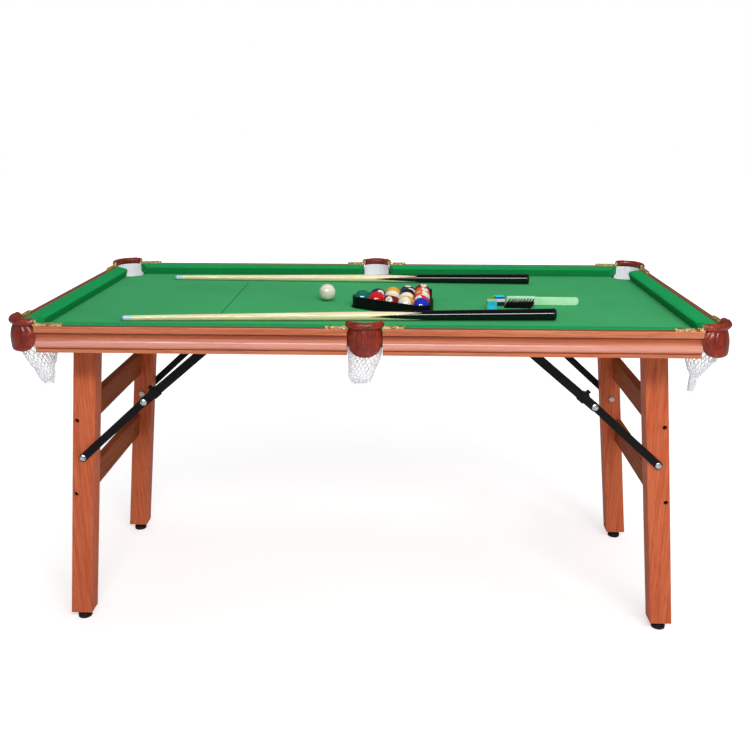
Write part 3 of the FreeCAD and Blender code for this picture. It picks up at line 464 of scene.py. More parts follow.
# ---- cushions ----
def cushion_section():
    """The covered rubber's section as (in from the rail's outer face, height)."""
    low = CLOTH_TOP + 0.0002
    return rounded([
        (STRIP, low, 0.0006),
        (STRIP, CUSHION_TOP - 0.0004, 0.0018),
        (STRIP + 0.006, CUSHION_TOP + 0.0006, 0.02),
        (NOSE - 0.006, CUSHION_TOP - 0.0006, 0.014),
        (NOSE + 0.0004, CUSHION_TOP - 0.0040, 0.0028),
        (NOSE - 0.0015, CUSHION_TOP - 0.0085, 0.008),
        (NOSE - 0.0070, low, 0.0008),
    ])


END_ROUND = 0.003          # the cloth's fold round a cushion's end


def cushion(node, place, low, high, low_setback, high_setback):
    """place turns (in from the outer face, along the rail, height) into a point."""
    section = cushion_section()
    middle = sum(section, Vector((0, 0))) / len(section)
    long = high - low
    near_end = [0.0, 0.0004, 0.0012, 0.0030, 0.006]
    count = int(long / 0.012)
    inner = [near_end[-1] + (long - 2 * near_end[-1]) * k / count for k in range(1, count)]
    stations = near_end + inner + [long - end for end in reversed(near_end)]
    rings = []
    for station in stations:
        from_end = min(station, long - station)
        short = max(0.0, 1 - from_end / END_ROUND)
        inset = 0.6 * END_ROUND * (1 - sqrt(1 - short ** 2))
        ring = []
        for point in section:
            point = point + (middle - point).normalized() * inset
            depth = (point.x - STRIP) / (NOSE - STRIP)
            start = low + low_setback * depth
            end = high - high_setback * depth
            along = start + (end - start) * station / long
            ripple = 0.00025 * noise((along * 40, point.x * 90, point.y * 90))
            ring.append(place(point.x, along, point.y + ripple))
        rings.append(ring)
    bm = bmesh.new()
    skin(bm, rings)
    new_piece(node + "_cloth", bm, [FELT_CUSHION], [node])


def make_cushions():
    for row, across in ROWS:
        for side, along in SIDES:
            def place(deep, reach, height):
                return Vector((along * reach, across * (HALF_WIDTH - deep), height))

            name = "cushion_%s_%s" % (row, side)
            cushion(name, place, MIDDLE_CUT, SIDE_CUT, MIDDLE_SETBACK, CORNER_SETBACK)
    for side, along in SIDES:
        def place(deep, reach, height):
            return Vector((along * (HALF_LENGTH - deep), reach, height))

        cushion("cushion_end_" + side, place, -END_CUT, END_CUT, CORNER_SETBACK, CORNER_SETBACK)


# ---- pocket leathers ----
ROLL_STEPS = 20
SKIRT_STEPS = 20
ACROSS_STEPS = 110


def leather_ring(turn, ring, low, flare, seed):
    """A closed section through a leather, as (radius, height, drop) points.

    drop goes from 0 on the roll to 1 at the hem.
    """
    high = RAIL_TOP + RING_HIGH
    broad = noise((turn * 2.2, seed, 0.0))
    fold = noise((turn * 8, seed, 3.0))
    tuck = noise((turn * 19, seed, 7.0))
    points = []
    for k in range(ROLL_STEPS + 1):
        phi = radians(250 - 300 * k / ROLL_STEPS)
        crease = noise((turn * 7 + 0.6 * phi, phi * 1.1, seed))
        wrinkle = noise((turn * 24, phi * 1.4, seed + 5.0))
        size = ROLL + 0.0010 * crease + 0.0005 * wrinkle
        points.append((ring + size * cos(phi), high + size * sin(phi), 0.0))
    outer = []
    start = high - 0.0062
    for k in range(1, SKIRT_STEPS + 1):
        s = k / SKIRT_STEPS
        out = ring - 0.0012 + flare * (1 - (1 - min(1.0, 1.4 * s)) ** 2)
        gather = (0.0022 * fold + 0.0008 * tuck) * (1 - s) ** 1.5 * min(1.0, 6 * s)
        belly = 0.0022 * broad * sin(pi * min(1.0, 1.15 * s))
        sag = 0.0005 * sin(5 * pi * s) * max(0.0, broad) * (1 - s)
        tucked = 0.0012 * max(0.0, s - 0.93) / 0.07
        outer.append((out + gather + belly + sag - tucked, start + (low - start) * s, s))
    points += outer
    points.append((outer[-1][0] - LEATHER_THICK / 2, low - 0.0006, 1.0))
    points += [(r - LEATHER_THICK, z, s) for r, z, s in reversed(outer)]
    return points


def leather(name, node, centre, facing, half_angle, ring, bottom, hem, flare, neck, seed):
    """hem is (rise, power) of the skirt's edge towards its sides, and neck how far in they are tied."""
    rings = []
    rise, power = hem
    for i in range(ACROSS_STEPS + 1):
        share = 2 * i / ACROSS_STEPS - 1
        turn = radians(facing + share * half_angle)
        low = bottom + rise * (1 - sqrt(max(0.0, 1 - abs(share) ** power)))
        ring_points = []
        for r, z, drop in leather_ring(turn, ring, low, flare, seed):
            tied = neck * (1 - min(1.0, 2.2 * drop)) ** 2 if drop else 0.0
            angle = radians(facing + share * half_angle * (1 - tied))
            ring_points.append(Vector((centre[0] + r * cos(angle), centre[1] + r * sin(angle), z)))
        rings.append(ring_points)
    bm = bmesh.new()
    skin(bm, rings)
    new_piece(name, bm, [LEATHER], [node], smooth=60)


def make_leathers():
    seed = 1.7
    for row, across in ROWS:
        for side, along in SIDES:
            leather("leather_%s_%s" % (row, side), "pocket_leathers_corner",
                    corner_centre(across, along), corner_facing(across, along), half_angle=65,
                    ring=CORNER_RING, bottom=RAIL_BOTTOM + 0.001, hem=(0.026, 3.4), flare=0.0080,
                    neck=0.22, seed=seed)
            seed += 2.3
        leather("leather_%s_middle" % row, "pocket_leathers_middle", (0.0, across * MIDDLE_Y),
                90 * across, half_angle=58, ring=MIDDLE_RING, bottom=RAIL_BOTTOM - 0.001,
                hem=(0.030, 2.3), flare=0.0040, neck=0.0, seed=seed)
        seed += 2.3


# ---- relief on the pocket irons ----
LEAF = (0.0034, 0.0016, 0.0013)     # half length, half width and height
LEAF_GAP = 0.0045
LEAF_OFF = 0.0019           # a leaf's middle from the middle of the arm
LEAF_LEAN = 32
SCREW_CLEAR = 0.0048
BEAD = 0.0011
BEAD_GAP = 0.0021


def leaf(bm, x, y, turn):
    """A small raised leaf."""
    place = Matrix.Translation((x, y, IRON_ARM_TOP)) @ Matrix.Rotation(radians(turn), 4, "Z")
    shape = place @ Matrix.Diagonal((*LEAF, 1))
    bmesh.ops.create_icosphere(bm, subdivisions=2, radius=1.0, matrix=shape)


def arm_relief(bm, start, end, screws, place):
    """Leaves in pairs and a beaded edge. place turns (along, across) into x, y, turn."""
    pairs = int((end - start) / LEAF_GAP)
    for k in range(pairs + 1):
        along = start + (end - start) * k / pairs
        if min(abs(along - screw) for screw in screws) < SCREW_CLEAR:
            continue
        for hand in (-1, 1):
            x, y, turn = place(along, hand * LEAF_OFF)
            leaf(bm, x, y, turn + hand * LEAF_LEAN)
    beads = int((end - start) / BEAD_GAP)
    for k in range(beads + 1):
        along = start + (end - start) * k / beads
        for hand in (-1, 1):
            x, y, _ = place(along, hand * (IRON_ARM_HALF - 0.0006))
            spot = Matrix.Translation((x, y, IRON_ARM_TOP - 0.0006))
            bmesh.ops.create_icosphere(bm, subdivisions=1, radius=BEAD, matrix=spot)


def make_iron_relief():
    bm = bmesh.new()
    for _, across in ROWS:
        for _, along in SIDES:
            def on_side(reach, off):
                return along * reach, across * (HALF_WIDTH - IRON_ARM_IN) + off, 0

            def on_end(reach, off):
                return along * (HALF_LENGTH - IRON_ARM_IN) + off, across * reach, 90

            arm_relief(bm, *CORNER_ARM_X, IRON_SCREWS_X, on_side)
            arm_relief(bm, *MIDDLE_ARM_X, IRON_SCREWS_X, on_side)
            arm_relief(bm, *CORNER_ARM_Y, IRON_SCREWS_Y, on_end)
    new_piece("iron_relief", bm, [BRASS], smooth=60)


# ---- pocket nets ----
MESH_COUNT = 18             # diamonds round a net
MESH_ROWS = 11
CORNER_MOUTH = 0.036        # a net's radius at its mouth
MIDDLE_MOUTH = 0.033
STRING_RADIUS = 0.00085
KNOT = 0.0018
LOOSE_ENDS = 14
BAND_TAIL = 0.022           # how far a corner band runs on under the cushion
BAND_THICK = 0.0009
BAND_ROWS = 10
BAND_COLUMNS = 72
TAIL_COLUMNS = 6

# low is the height of the net's foot, lean its shift in x and y, waist how far the net draws in.
Hang = namedtuple("Hang", "centre mouth low lean waist seed")


def net_point(turn, drop, hang):
    """A point of a hanging net: turn round it in radians, drop 0 at the mouth and 1 at the foot."""
    closing = (1 - drop ** 10) ** 0.45
    radius = hang.mouth * (1 - hang.waist * min(1.0, 1.5 * drop) ** 1.5) * closing
    radius = max(radius, 0.003)
    top = BED_UNDERSIDE - 0.001
    sway = noise((turn * 1.1, drop * 2.0, hang.seed))
    radius *= 1 + 0.16 * sway * min(1.0, 3 * drop)
    bob = noise((cos(turn) * 2, sin(turn) * 2, hang.seed + drop * 4))
    height = top + (hang.low - top) * drop + 0.004 * drop * bob
    x = hang.centre[0] + radius * cos(turn) + hang.lean[0] * drop ** 1.2
    y = hang.centre[1] + radius * sin(turn) + hang.lean[1] * drop ** 1.2
    return Vector((x, y, height))


def net(name, node, facing, half_angle, hang):
    bm = bmesh.new()
    half_mesh = pi / MESH_COUNT
    for hand in (-1, 1):
        for k in range(MESH_COUNT):
            line = []
            for step in range(3 * MESH_ROWS + 1):
                row = step / 3
                turn = half_mesh * (2 * k + hand * row)
                line.append(net_point(turn, row / MESH_ROWS, hang))
            tube(bm, line, STRING_RADIUS)
    for row in range(MESH_ROWS):
        for k in range(MESH_COUNT):
            turn = half_mesh * (2 * k + row)
            place = Matrix.Translation(net_point(turn, row / MESH_ROWS, hang))
            bmesh.ops.create_icosphere(bm, subdivisions=1, radius=KNOT, matrix=place)
    dice = random.Random(int(10 * hang.seed))
    for k in range(LOOSE_ENDS):
        start = net_point(2 * pi * k / LOOSE_ENDS, dice.uniform(0.93, 0.985), hang)
        x, y = dice.uniform(-0.003, 0.003), dice.uniform(-0.003, 0.003)
        thread = Vector((x, y, -dice.uniform(0.004, 0.009)))
        sag = Vector((0, 0, -0.001))
        tube(bm, [start, start + 0.5 * thread + sag, start + thread], STRING_RADIUS)
    new_piece(name, bm, [STRING], [node], smooth=80)
    net_band(name + "_band", facing, half_angle, hang)


def band_section(spot, outward, high, turn, seed):
    """A section through the band: up its outer face and down its inner face."""
    low = BED_UNDERSIDE - 0.003
    outer = []
    for k in range(BAND_ROWS + 1):
        height = low + (high - low) * k / BAND_ROWS
        slack = 0.0009 * noise((turn * 11, seed, 0.5))
        slack += 0.0008 * noise((turn * 5, height * 160, seed))
        outer.append((slack, height))
    section = outer + [(r - BAND_THICK, z) for r, z in reversed(outer)]
    return [Vector((*spot, z)) + outward * r for r, z in section]


def net_band(name, facing, half_angle, hang):
    """The woven band that lines the pocket from the bed up to the roll."""
    centre, seed = hang.centre, hang.seed
    rings = []
    for i in range(BAND_COLUMNS + 1):
        angle = radians(facing + half_angle * (2 * i / BAND_COLUMNS - 1))
        outward = Vector((cos(angle), sin(angle), 0))
        spot = Vector(centre) + (hang.mouth - 0.0004) * outward.xy
        rings.append(band_section(spot, outward, RAIL_TOP - 0.001, angle, seed))
    if centre[0]:
        rings = band_tail(centre, rings[0], seed)[::-1] + rings + band_tail(centre, rings[-1], seed)
    bm = bmesh.new()
    skin(bm, rings)
    new_piece(name, bm, [TAPE], smooth=50)


def band_tail(centre, last, seed):
    """A corner band runs on along the rail's inner face, under the end of the cushion."""
    end = last[0]
    hand_x, hand_y = (1 if place > 0 else -1 for place in centre)
    on_side = abs(end.y) > abs(centre[1])
    outward = Vector((0, hand_y, 0) if on_side else (hand_x, 0, 0))
    tail = []
    for k in range(1, TAIL_COLUMNS + 1):
        reach = BAND_TAIL * k / TAIL_COLUMNS
        if on_side:
            spot = (end.x - hand_x * reach, hand_y * (HALF_WIDTH - STRIP - 0.0006))
        else:
            spot = (hand_x * (HALF_LENGTH - STRIP - 0.0006), end.y - hand_y * reach)
        tail.append(band_section(spot, outward, CLOTH_TOP - 0.0002, 0.0, seed))
    return tail


def make_nets():
    corner_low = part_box("pocket_nets_corner")[0].z
    middle_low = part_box("pocket_nets_middle")[0].z
    corners = {
        ("front", "left"): (-0.012, (0.012, 0.004), 0.50),
        ("front", "right"): (-0.016, (-0.014, 0.000), 0.76),
        ("rear", "left"): (0.004, (0.006, -0.004), 0.30),
        ("rear", "right"): (0.002, (-0.004, -0.006), 0.35),
    }
    seed = 4.0
    for row, across in ROWS:
        for side, along in SIDES:
            higher, lean, waist = corners[row, side]
            centre = corner_centre(across, along)
            hang = Hang(centre, CORNER_MOUTH, corner_low + higher, lean, waist, seed)
            facing = corner_facing(across, along)
            net("net_%s_%s" % (row, side), "pocket_nets_corner", facing, 71, hang)
            seed += 3.1
    for row, across in ROWS:
        centre = (0.0, across * MIDDLE_Y)
        hang = Hang(centre, MIDDLE_MOUTH, middle_low, (-0.009, 0.002 * across), 0.20, seed)
        net("net_%s_middle" % row, "pocket_nets_middle", 90 * across, 78, hang)
        seed += 3.1


# ---- balls ----
BALL_COLOURS = (
    srgb(244, 170, 20), srgb(28, 44, 190), srgb(214, 24, 24), srgb(56, 30, 96),
    srgb(236, 96, 22), srgb(10, 112, 96), srgb(132, 20, 34), srgb(16, 16, 20),
)
# Each row of the rack from front to rear: number, degrees that its spot is raised above the level,
# and degrees that the spot is turned from the front to the right.
RACK_ORDER = [
    (6, -60, 0),
    (3, -60, 10), (4, 38, 28),
    (15, 30, -20), (10, -28, 10), (1, -60, 0),
    (9, -72, -25), (14, -28, -15), (8, -60, 30), (12, 85, 20),
    (2, -60, 15), (11, 45, -35), (13, 60, -100), (5, 62, 48), (7, 72, 30),
]
IVORY = srgb(240, 236, 220)
NUMBER_SPOT = 0.40          # radius of the white spot, as a share of the ball's
STRIPE = 0.56               # half height of the stripe
PRINT_EDGE = 0.00012        # half width of the blur between two colours
RACK_TURN = radians(-2)


def resin(name, colour, striped=False, spotted=True):
    """A ball's resin, in the ball's own axes: white spots along Y, and a stripe round Z."""
    paint = Paint(name, roughness=0.14, coat_weight=0.5, coat_roughness=0.05)
    x, z = paint.axis("X"), paint.axis("Z")
    cloud = paint.noise(60, 2, 0.5)
    white = paint.ramp(cloud, (0.3, srgb(232, 226, 206)), (0.7, IVORY))
    deep = paint.mix(paint.fade(cloud, 0.3, 0.7), scaled(colour, 0.88), colour)
    shown = white
    if spotted:
        spot = NUMBER_SPOT * BALL
        cover = paint.fade(paint.length(x, z), spot - PRINT_EDGE, spot + PRINT_EDGE)
        if striped:
            high = paint.math("ABSOLUTE", z)
            half = STRIPE * BALL
            band = paint.fade(high, half - PRINT_EDGE, half + PRINT_EDGE, 1.0, 0.0)
            cover = paint.math("MULTIPLY", band, cover)
        shown = paint.mix(cover, white, deep)
    paint.set(color=shown, subsurface_weight=0.05, subsurface_radius=(0.002, 0.002, 0.002))
    paint.bump(cloud, 0.00001)
    return paint.material


def numeral(number):
    """The printed number as a thin skin lying on both spots of a ball."""
    curve = bpy.data.curves.new("numeral", "FONT")
    curve.body = str(number)
    curve.size = 0.0088 if number < 10 else 0.0074
    curve.align_x = curve.align_y = "CENTER"
    curve.extrude = 0.0003
    text = add_object("numeral", curve)
    mesh = bpy.data.meshes.new_from_object(text)
    bpy.data.objects.remove(text)
    bpy.data.curves.remove(curve)
    bm = bmesh.new()
    bm.from_mesh(mesh)
    bpy.data.meshes.remove(mesh)
    bmesh.ops.triangulate(bm, faces=bm.faces)
    for _ in range(2):
        long_edges = [e for e in bm.edges if e.calc_length() > 0.0012]
        bmesh.ops.subdivide_edges(bm, edges=long_edges, cuts=1)
        bmesh.ops.triangulate(bm, faces=bm.faces)
    for vert in bm.verts:
        x, z, out = vert.co
        direction = Vector((x, -sqrt(BALL ** 2 - x * x - z * z), z)).normalized()
        vert.co = direction * (BALL - 0.0002 + out)
    copied = bmesh.ops.duplicate(bm, geom=bm.verts[:] + bm.edges[:] + bm.faces[:])["geom"]
    back = [element for element in copied if isinstance(element, bmesh.types.BMVert)]
    bmesh.ops.rotate(bm, verts=back, matrix=Matrix.Rotation(pi, 3, "Z"))
    return bm


def rack_centres():
    """The centres of the fifteen balls, row by row, from the separate balls of the CAD node."""
    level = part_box("object_balls")[0].z + BALL
    found = []
    parts = bmesh.new()
    parts.from_mesh(nodes["object_balls"].data)
    bmesh.ops.remove_doubles(parts, verts=parts.verts, dist=1e-6)
    left = set(parts.verts)
    while left:
        group = [left.pop()]
        for vert in group:
            for edge in vert.link_edges:
                other = edge.other_vert(vert)
                if other in left:
                    left.remove(other)
                    group.append(other)
        xs = [v.co.x for v in group]
        ys = [v.co.y for v in group]
        found.append(Vector(((min(xs) + max(xs)) / 2, (min(ys) + max(ys)) / 2, level)))
    parts.free()
    rows = Vector((cos(RACK_TURN), sin(RACK_TURN), 0))
    return sorted(found, key=lambda centre: (round(centre.dot(rows), 3), centre.y))


def make_ball(name, node, paint, pose):
    bm = bmesh.new()
    bmesh.ops.create_uvsphere(bm, u_segments=64, v_segments=32, radius=BALL)
    new_piece(name, bm, [paint], [node], node).matrix_world = pose


def make_balls():
    black = moulded("numeral_black", srgb(14, 14, 16), 0.2)
    for centre, (number, tip, turn) in zip(rack_centres(), RACK_ORDER):
        colour = BALL_COLOURS[(number - 1) % 8]
        name = "ball_%02d" % number
        pose = Matrix.Translation(centre) @ Matrix.Rotation(radians(turn), 4, "Z")
        pose = pose @ Matrix.Rotation(radians(-tip), 4, "X")
        make_ball(name, "object_balls", resin(name, colour, striped=number > 8), pose)
        digits = new_piece(name + "_number", numeral(number), [black], body="object_balls")
        digits.matrix_world = pose
    low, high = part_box("cue_ball")
    paint = resin("cue_ball_resin", IVORY, spotted=False)
    make_ball("cue_ball_resin", "cue_ball", paint, Matrix.Translation((low + high) / 2))


# ---- cues ----
POINT_START = 0.520         # from the tip to where the black points begin
POINT_END = 0.633           # to where they have closed round the butt
FERRULE_END = 0.022
TIP_END = 0.005
BUMPER = 0.008
BUMPER_ROUND = 0.0045
CUE_TIP_RADIUS = 0.0055
CUE_BUTT_RADIUS = 0.0125
CUE_SIDES = 48
CUE_STEPS = 60


def cue_paint():
    """Maple shaft spliced with black points into a lacquered black butt, along local X."""
    paint = Paint("cue_wood", roughness=0.3, coat_weight=1.0, coat_roughness=0.04, specular=0.0)
    x, y, z = paint.axis("X"), paint.axis("Y"), paint.axis("Z")
    grain = paint.noise(260, 4, 0.6, source=paint.mapped((0.02, 1, 1)))
    dark, middle, light = MAPLE_TONES
    maple = paint.ramp(grain, (0.3, dark), (0.6, middle), (0.8, light))
    quarter = paint.math("MULTIPLY", paint.math("ARCTAN2", z, y), 2 / pi)
    off = paint.math("FRACT", paint.math("ADD", quarter, 0.5))
    off = paint.math("ABSOLUTE", paint.math("SUBTRACT", off, 0.5))
    off = paint.math("MULTIPLY", off, 2.0)
    along = paint.fade(x, POINT_START, POINT_END)
    inside = paint.math("GREATER_THAN", paint.math("SUBTRACT", along, off), 0.0)
    inside = paint.math("MULTIPLY", inside, paint.math("GREATER_THAN", x, POINT_START))
    black = paint.ramp(grain, (0.3, srgb(4, 4, 6)), (0.8, srgb(10, 10, 13)))
    paint.set(color=paint.mix(inside, maple, black))
    paint.bump(grain, 0.00002)
    return paint.material


def axis_of(node):
    """Centres of the two end faces of a long node that lies along X."""
    points = [v.co for v in nodes[node].data.vertices]
    ends = []
    for limit in (min(p.x for p in points), max(p.x for p in points)):
        near = [p for p in points if abs(p.x - limit) < 0.0009]
        ends.append(sum(near, Vector()) / len(near))
    return ends


def cue(node, materials):
    """A turned cue. Its profile is (along, radius, material) from the tip to the bumper."""
    tip, butt = axis_of(node)
    long = (butt - tip).length

    def radius(x):
        return CUE_TIP_RADIUS + (CUE_BUTT_RADIUS - CUE_TIP_RADIUS) * x / long

    profile = [(0.0, 0.0012, 0), (0.0004, 0.0034, 0), (0.0014, 0.0047, 0), (0.0030, 0.0053, 0),
               (TIP_END, 0.0054, 0), (TIP_END, radius(TIP_END), 1),
               (FERRULE_END, radius(FERRULE_END), 1)]
    body_end = long - BUMPER
    for k in range(CUE_STEPS + 1):
        x = FERRULE_END + (body_end - FERRULE_END) * k / CUE_STEPS
        profile.append((x, radius(x), 2))
    groove = radius(body_end) - 0.0009
    profile += [(body_end, groove, 3), (body_end + 0.0008, groove, 3),
                (body_end + 0.0009, CUE_BUTT_RADIUS, 3)]
    for k in range(7):
        angle = radians(15 * k)
        x = long - BUMPER_ROUND + BUMPER_ROUND * sin(angle)
        profile.append((x, CUE_BUTT_RADIUS - BUMPER_ROUND * (1 - cos(angle)), 3))
    profile.append((long, 0.002, 3))
    turns = [2 * pi * k / CUE_SIDES for k in range(CUE_SIDES)]
    rings = [[Vector((x, r * cos(turn), r * sin(turn))) for turn in turns] for x, r, _ in profile]
    bm = bmesh.new()
    skin(bm, rings)
    bm.faces.ensure_lookup_table()
    for i, (_, _, kind) in enumerate(profile[1:]):
        for k in range(CUE_SIDES):
            bm.faces[i * CUE_SIDES + k].material_index = kind
    bm.faces[-1].material_index = 3
    piece = new_piece(node + "_turned", bm, materials, [node], node, smooth=30)
    along = (butt - tip).normalized()
    across = along.cross(Vector((0, 0, 1))).normalized()
    over = across.cross(along)
    turn = Matrix((along, -across, over)).transposed().to_4x4()
    piece.matrix_world = Matrix.Translation(tip) @ turn


def make_cues():
    tip = moulded("tip_leather", srgb(120, 176, 220), 0.8, relief=0.0003)
    ferrule = moulded("ferrule_white", srgb(206, 228, 240), 0.25, shade=0.93, coat=0.5)
    bumper = moulded("bumper_black", srgb(14, 14, 16), 0.35)
    for node in ("cue_front", "cue_rear"):
        cue(node, [tip, ferrule, cue_paint(), bumper])


# ---- brush, lying on its long edge with the bristles to the front ----
TUFT_ROWS = (0.0028, 0.0056, 0.0086, 0.0152)    # heights above the bed; the top row stands apart
TUFT_COLUMNS = 9
BRISTLES_PER_TUFT = 36
TUFT = 0.0007               # half a tuft's width at its root
BRISTLE_RADIUS = 0.0004
BRISTLE_SPREAD = 0.0016
BRUSH_HEAD = 0.069          # length of the part with bristles
BACK_THICK = 0.009
HEAD_SHORT = 0.004          # the back starts this far in from the bristles' left end
BRISTLE_LONG = 0.030
BRISTLE_LEAN = 0.015        # the bristles are combed this far to the left


def rounded_slab(bm, outline, low, high, edge):
    """A slab with softened edges: outline in X and Z, low to high in Y."""
    middle = sum(outline, Vector((0, 0))) / len(outline)
    slope = 0.3 * edge
    rings = []
    for level, inset in ((low, edge), (low + slope, slope), (low + edge, 0),
                         (high - edge, 0), (high - slope, slope), (high, edge)):
        pulled = [point + (middle - point).normalized() * inset for point in outline]
        rings.append([Vector((point.x, level, point.y)) for point in pulled])
    skin(bm, rings)


def make_brush():
    low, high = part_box("brush")
    head_start = low.x + HEAD_SHORT
    head_end = low.x + BRUSH_HEAD
    grip_start = head_end - 0.006
    face = high.y - BACK_THICK
    bm = bmesh.new()
    head = rounded([(head_start, low.z, 0.005), (head_end, low.z, 0.003), (head_end, high.z, 0.003),
                    (head_start, high.z, 0.005)])
    rounded_slab(bm, head, face, high.y, 0.0014)
    grip = rounded([(grip_start, low.z + 0.0003, 0.001), (high.x, low.z + 0.0003, 0.006),
                    (high.x, high.z - 0.0020, 0.006), (grip_start, high.z - 0.0014, 0.001)])
    rounded_slab(bm, grip, face + 0.0006, high.y - 0.0006, 0.0020)
    new_piece("brush_back", bm, [MINT], ["brush"], "brush")
    dice = random.Random(11)
    bm = bmesh.new()
    for row in TUFT_ROWS:
        for column in range(TUFT_COLUMNS):
            x = head_start + 0.009 + (BRUSH_HEAD - HEAD_SHORT - 0.012) * column / (TUFT_COLUMNS - 1)
            z = low.z + row
            droop = 0.75 * row
            long = BRISTLE_LONG + 0.006 * (column / TUFT_COLUMNS) ** 3
            for _ in range(BRISTLES_PER_TUFT):
                root_x = x + dice.uniform(-TUFT, TUFT)
                root = Vector((root_x, face - 0.0001, z + dice.uniform(-TUFT, TUFT)))
                spread = Vector([dice.uniform(-reach, reach) for reach in (1, 0.6, 0.6)])
                tip = root + Vector((-BRISTLE_LEAN, -long, -droop)) + spread * BRISTLE_SPREAD
                tip.z = max(tip.z, low.z + 0.0003)
                bend = (root + tip) / 2 + Vector((0.0008, 0, 0.2 * droop))
                tube(bm, [root, bend, tip], BRISTLE_RADIUS, sides=4)
    new_piece("brush_bristles", bm, [BRISTLE], body="brush")


# ---- chalk and materials of the CAD parts ----
def chalk_paint():
    """Chalk cubes in a printed paper wrap, told apart by their place along X.

    The left cube lies on its side, so its chalk faces the front. The right one faces up.
    """
    paint = Paint("chalk", roughness=0.85)
    low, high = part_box("chalk_cubes")
    x, z = paint.axis("X"), paint.axis("Z")
    normal_x, normal_y, normal_z = paint.facing()
    powder = paint.noise(700, 4, 0.65)
    blue = paint.ramp(powder, (0.3, srgb(0, 176, 216)), (0.6, srgb(20, 212, 244)))
    wrap = paint.ramp(powder, (0.3, srgb(150, 170, 84)), (0.6, srgb(196, 208, 120)))
    level = paint.fade(z, low.z, high.z)
    label = paint.ramp(level, (0.0, srgb(14, 16, 26)), (0.44, srgb(28, 28, 40)),
                       (0.46, srgb(226, 222, 244)), (0.78, srgb(232, 228, 248)), (0.80, srgb(26, 36, 130)))
    label.node.color_ramp.interpolation = "CONSTANT"
    plain_side = paint.ramp(level, (0.0, srgb(190, 110, 50)), (0.5, srgb(226, 196, 150)))
    label = paint.mix(paint.math("GREATER_THAN", normal_x, 0.7), label, plain_side)
    first = paint.mix(paint.math("LESS_THAN", normal_y, -0.5), wrap, blue)
    second = paint.mix(paint.math("GREATER_THAN", normal_z, 0.5), label, blue)
    paint.set(color=paint.mix(paint.math("GREATER_THAN", x, (low.x + high.x) / 2), first, second))
    paint.bump(powder, 0.0002)
    return paint.material


def dress(names, material):
    """Gives CAD nodes a material."""
    for name in names:
        mesh = nodes[name].data
        mesh.materials.clear()
        mesh.materials.append(material)


def boards(*starts):
    """The wooden CAD nodes whose names start so, in order, with their numbers and boxes."""
    names = sorted(name for name in nodes if name.startswith(starts) and not name.endswith("screws"))
    return [(index, name, *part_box(name)) for index, name in enumerate(names)]


def dress_wood():
    """Each board is cut from its own place in the tree."""
    for index, name, low, high in boards("rail_"):
        if "end" in name:
            grain = "y"
            heart = (1.03 * max(low.x, high.x, key=abs), RAIL_TOP + 0.01)
        else:
            grain = "x"
            heart = (-(RAIL_TOP + 0.010 * (index % 3)), 1.06 * max(low.y, high.y, key=abs))
        # the rails get painted shade in the cove and under the step, and a painted highlight along the
        # bead
        dress([name], wood("rail_wood_%d" % index, grain, RAIL_TONES, heart, ring_gap=0.009, warp=0.05,
                           recolour=rail_stain))
    for index, name, low, high in boards("leg_front", "leg_rear"):
        heart = ((low.x + high.x) / 2 + 0.010, low.y - 0.004 * index)
        dress([name], wood("leg_wood_%d" % index, "z", WARM_TONES, heart, ring_gap=0.0046, warp=0.022,
                           roughness=0.45, coat=0.04, gloss=0.22))
    for index, name, low, high in boards("stretcher_lower", "stretcher_upper"):
        heart = ((low.x + high.x) / 2, 0.01 - low.z)
        # the stretchers' tones carry painted shade
        dress([name], wood("stretcher_wood_%d" % index, "y", SHADED_STRETCHER_TONES, heart, ring_gap=0.007,
                           warp=0.03, roughness=0.55, coat=0.0, gloss=0.15))
    for name, recolour in (("bed_board", wrapped_edge), ("bed_battens", None)):
        dress([name], wood(name + "_wood", "x", BOARD_TONES, (-0.6, 0.1), roughness=0.7, coat=0.0,
                           recolour=recolour))


def dress_rest():
    """The CAD parts that aren't wood."""
    dress(["bed_cloth"], FELT_BED)
    dress(["pocket_irons"], BRASS)
    dress(["pocket_iron_screws"], BRIGHT_SCREW)
    dress(["rail_screws", "bracket_screws", "leg_pivot_bolts", "brace_top_pins"], ZINC)
    dress(["leg_brackets", "brace_brackets"], BLACK_STEEL)
    for side, _ in SIDES:
        steel = ("stretcher_bolts_", "brace_lower_links_", "brace_upper_links_", "brace_catches_")
        dress([start + side for start in steel], BLACK_STEEL)
        dress(["brace_leg_bolts_" + side, "knuckle_pins_" + side], ZINC)
        dress(["foot_front_" + side, "foot_rear_" + side], RUBBER)
    dress(["rack"], BLACK_PLASTIC)
    dress(["chalk_cubes"], chalk_paint())


# ---- floor, light and camera ----
STUDIO_GLOW = 0.27          # the white room's strength as a diffuse light
STUDIO_SHINE = 0.13         # its strength in reflections; the camera sees it as plain white
FLOOR_GLOW = (0.55, 1.0)    # the floor's lift towards white, under the table and far away
FLOOR_FADE = (0.8, 3.2)     # distances from the origin between which the lift grows
FLOOR_HALF = 14
LIGHTS_AIM = Vector((0, 0, 0.6))
CAMERA_PLACE = (0.0744, -1.9493, 1.1363)
CAMERA_AHEAD = (-0.0327, 0.9542, -0.2974)
CAMERA_UP = (-0.0102, 0.2973, 0.9547)
CAMERA_LENS = 41.08
CAMERA_SENSOR = 36


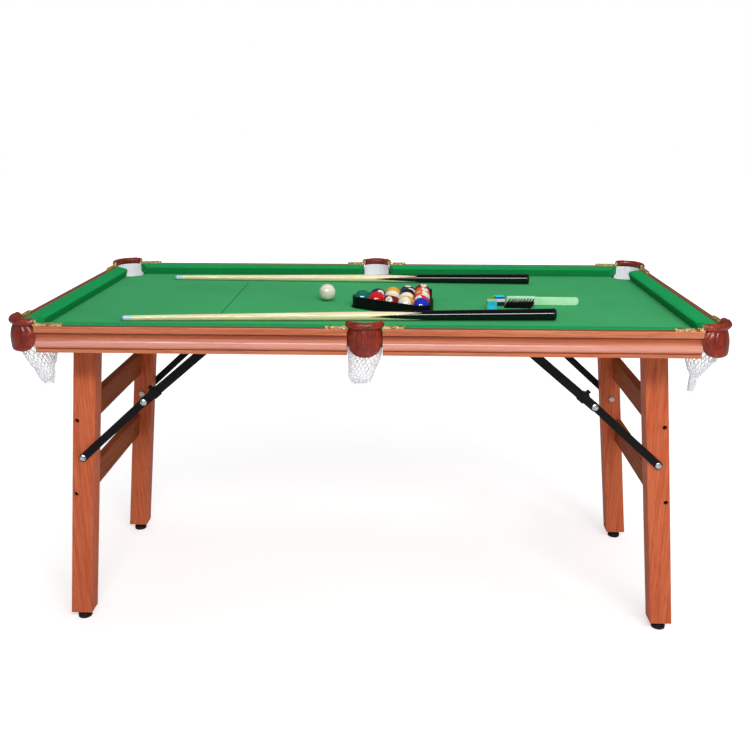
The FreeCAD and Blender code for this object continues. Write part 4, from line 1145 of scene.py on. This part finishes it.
def make_floor():
    paint = Paint("pale_floor", roughness=0.9)
    cloud = paint.noise(1.5, 2, 0.5)
    paint.set(color=paint.ramp(cloud, (0.3, srgb(236, 236, 238)), (0.7, srgb(242, 242, 243))))
    away = paint.length(paint.axis("X"), paint.axis("Y"))
    lift = paint.fade(away, *FLOOR_FADE, *FLOOR_GLOW)
    seen = paint.add("ShaderNodeLightPath").outputs["Is Camera Ray"]
    paint.set(emission_color=(1, 1, 1, 1), emission_strength=paint.math("MULTIPLY", lift, seen))
    corners = [(FLOOR_HALF * x, FLOOR_HALF * y, 0) for x, y in ((-1, -1), (1, -1), (1, 1), (-1, 1))]
    mesh = bpy.data.meshes.new("floor")
    mesh.from_pydata(corners, [], [(0, 1, 2, 3)])
    mesh.materials.append(paint.material)
    add_object("floor", mesh)


def make_room():
    """A white room: plain white to the camera, and a dimmer light on the table."""
    world = bpy.data.worlds.new("studio")
    room = Nodes(world)
    background = room.tree.nodes["Background"]
    rays = room.add("ShaderNodeLightPath").outputs
    strength = room.fade(rays["Is Glossy Ray"], 0, 1, STUDIO_GLOW, STUDIO_SHINE)
    strength = room.fade(rays["Is Camera Ray"], 0, 1, strength, 1)
    room.put(background.inputs["Color"], (1, 1, 1, 1))
    room.put(background.inputs["Strength"], strength)
    scene.world = world


def add_light(name, place, size, power, colour=(1, 1, 1), shine_only=False):
    """An area light that lights surfaces, or with shine_only is only reflected in glossy ones."""
    data = bpy.data.lights.new(name, "AREA")
    data.shape = "RECTANGLE"
    data.size, data.size_y = size
    data.energy = power
    data.color = colour
    light = add_object(name, data)
    light.visible_diffuse = not shine_only
    light.visible_glossy = shine_only
    light.location = place
    light.rotation_mode = "QUATERNION"
    light.rotation_quaternion = (LIGHTS_AIM - Vector(place)).to_track_quat("-Z", "Y")


def make_lights():
    add_light("front", (0.8, -2.9, 2.6), size=(2.6, 0.5), power=73, colour=(1.0, 0.985, 0.965))
    add_light("side", (2.8, -1.6, 1.9), size=(0.8, 0.8), power=8, colour=(0.96, 0.98, 1.0))
    add_light("overhead", (0.1, 0.1, 2.9), size=(2.4, 0.4), power=22)
    add_light("sheen", (-0.3, -2.9, 2.6), size=(3.0, 0.5), power=130, colour=(0.95, 0.93, 1.0),
              shine_only=True)


def make_camera():
    data = bpy.data.cameras.new("camera")
    data.sensor_width = CAMERA_SENSOR
    data.lens = CAMERA_LENS
    camera = add_object("camera", data)
    ahead = Vector(CAMERA_AHEAD).normalized()
    right = ahead.cross(Vector(CAMERA_UP)).normalized()
    turn = Matrix((right, right.cross(ahead), -ahead)).transposed().to_4x4()
    camera.matrix_world = Matrix.Translation(CAMERA_PLACE) @ turn
    scene.camera = camera


make_cushions()
make_leathers()
make_iron_relief()
make_nets()
make_balls()
make_cues()
make_brush()
dress_wood()
dress_rest()
make_floor()
make_room()
make_lights()
make_camera()
scene.view_settings.view_transform = "Standard"

bpy.context.view_layer.update()
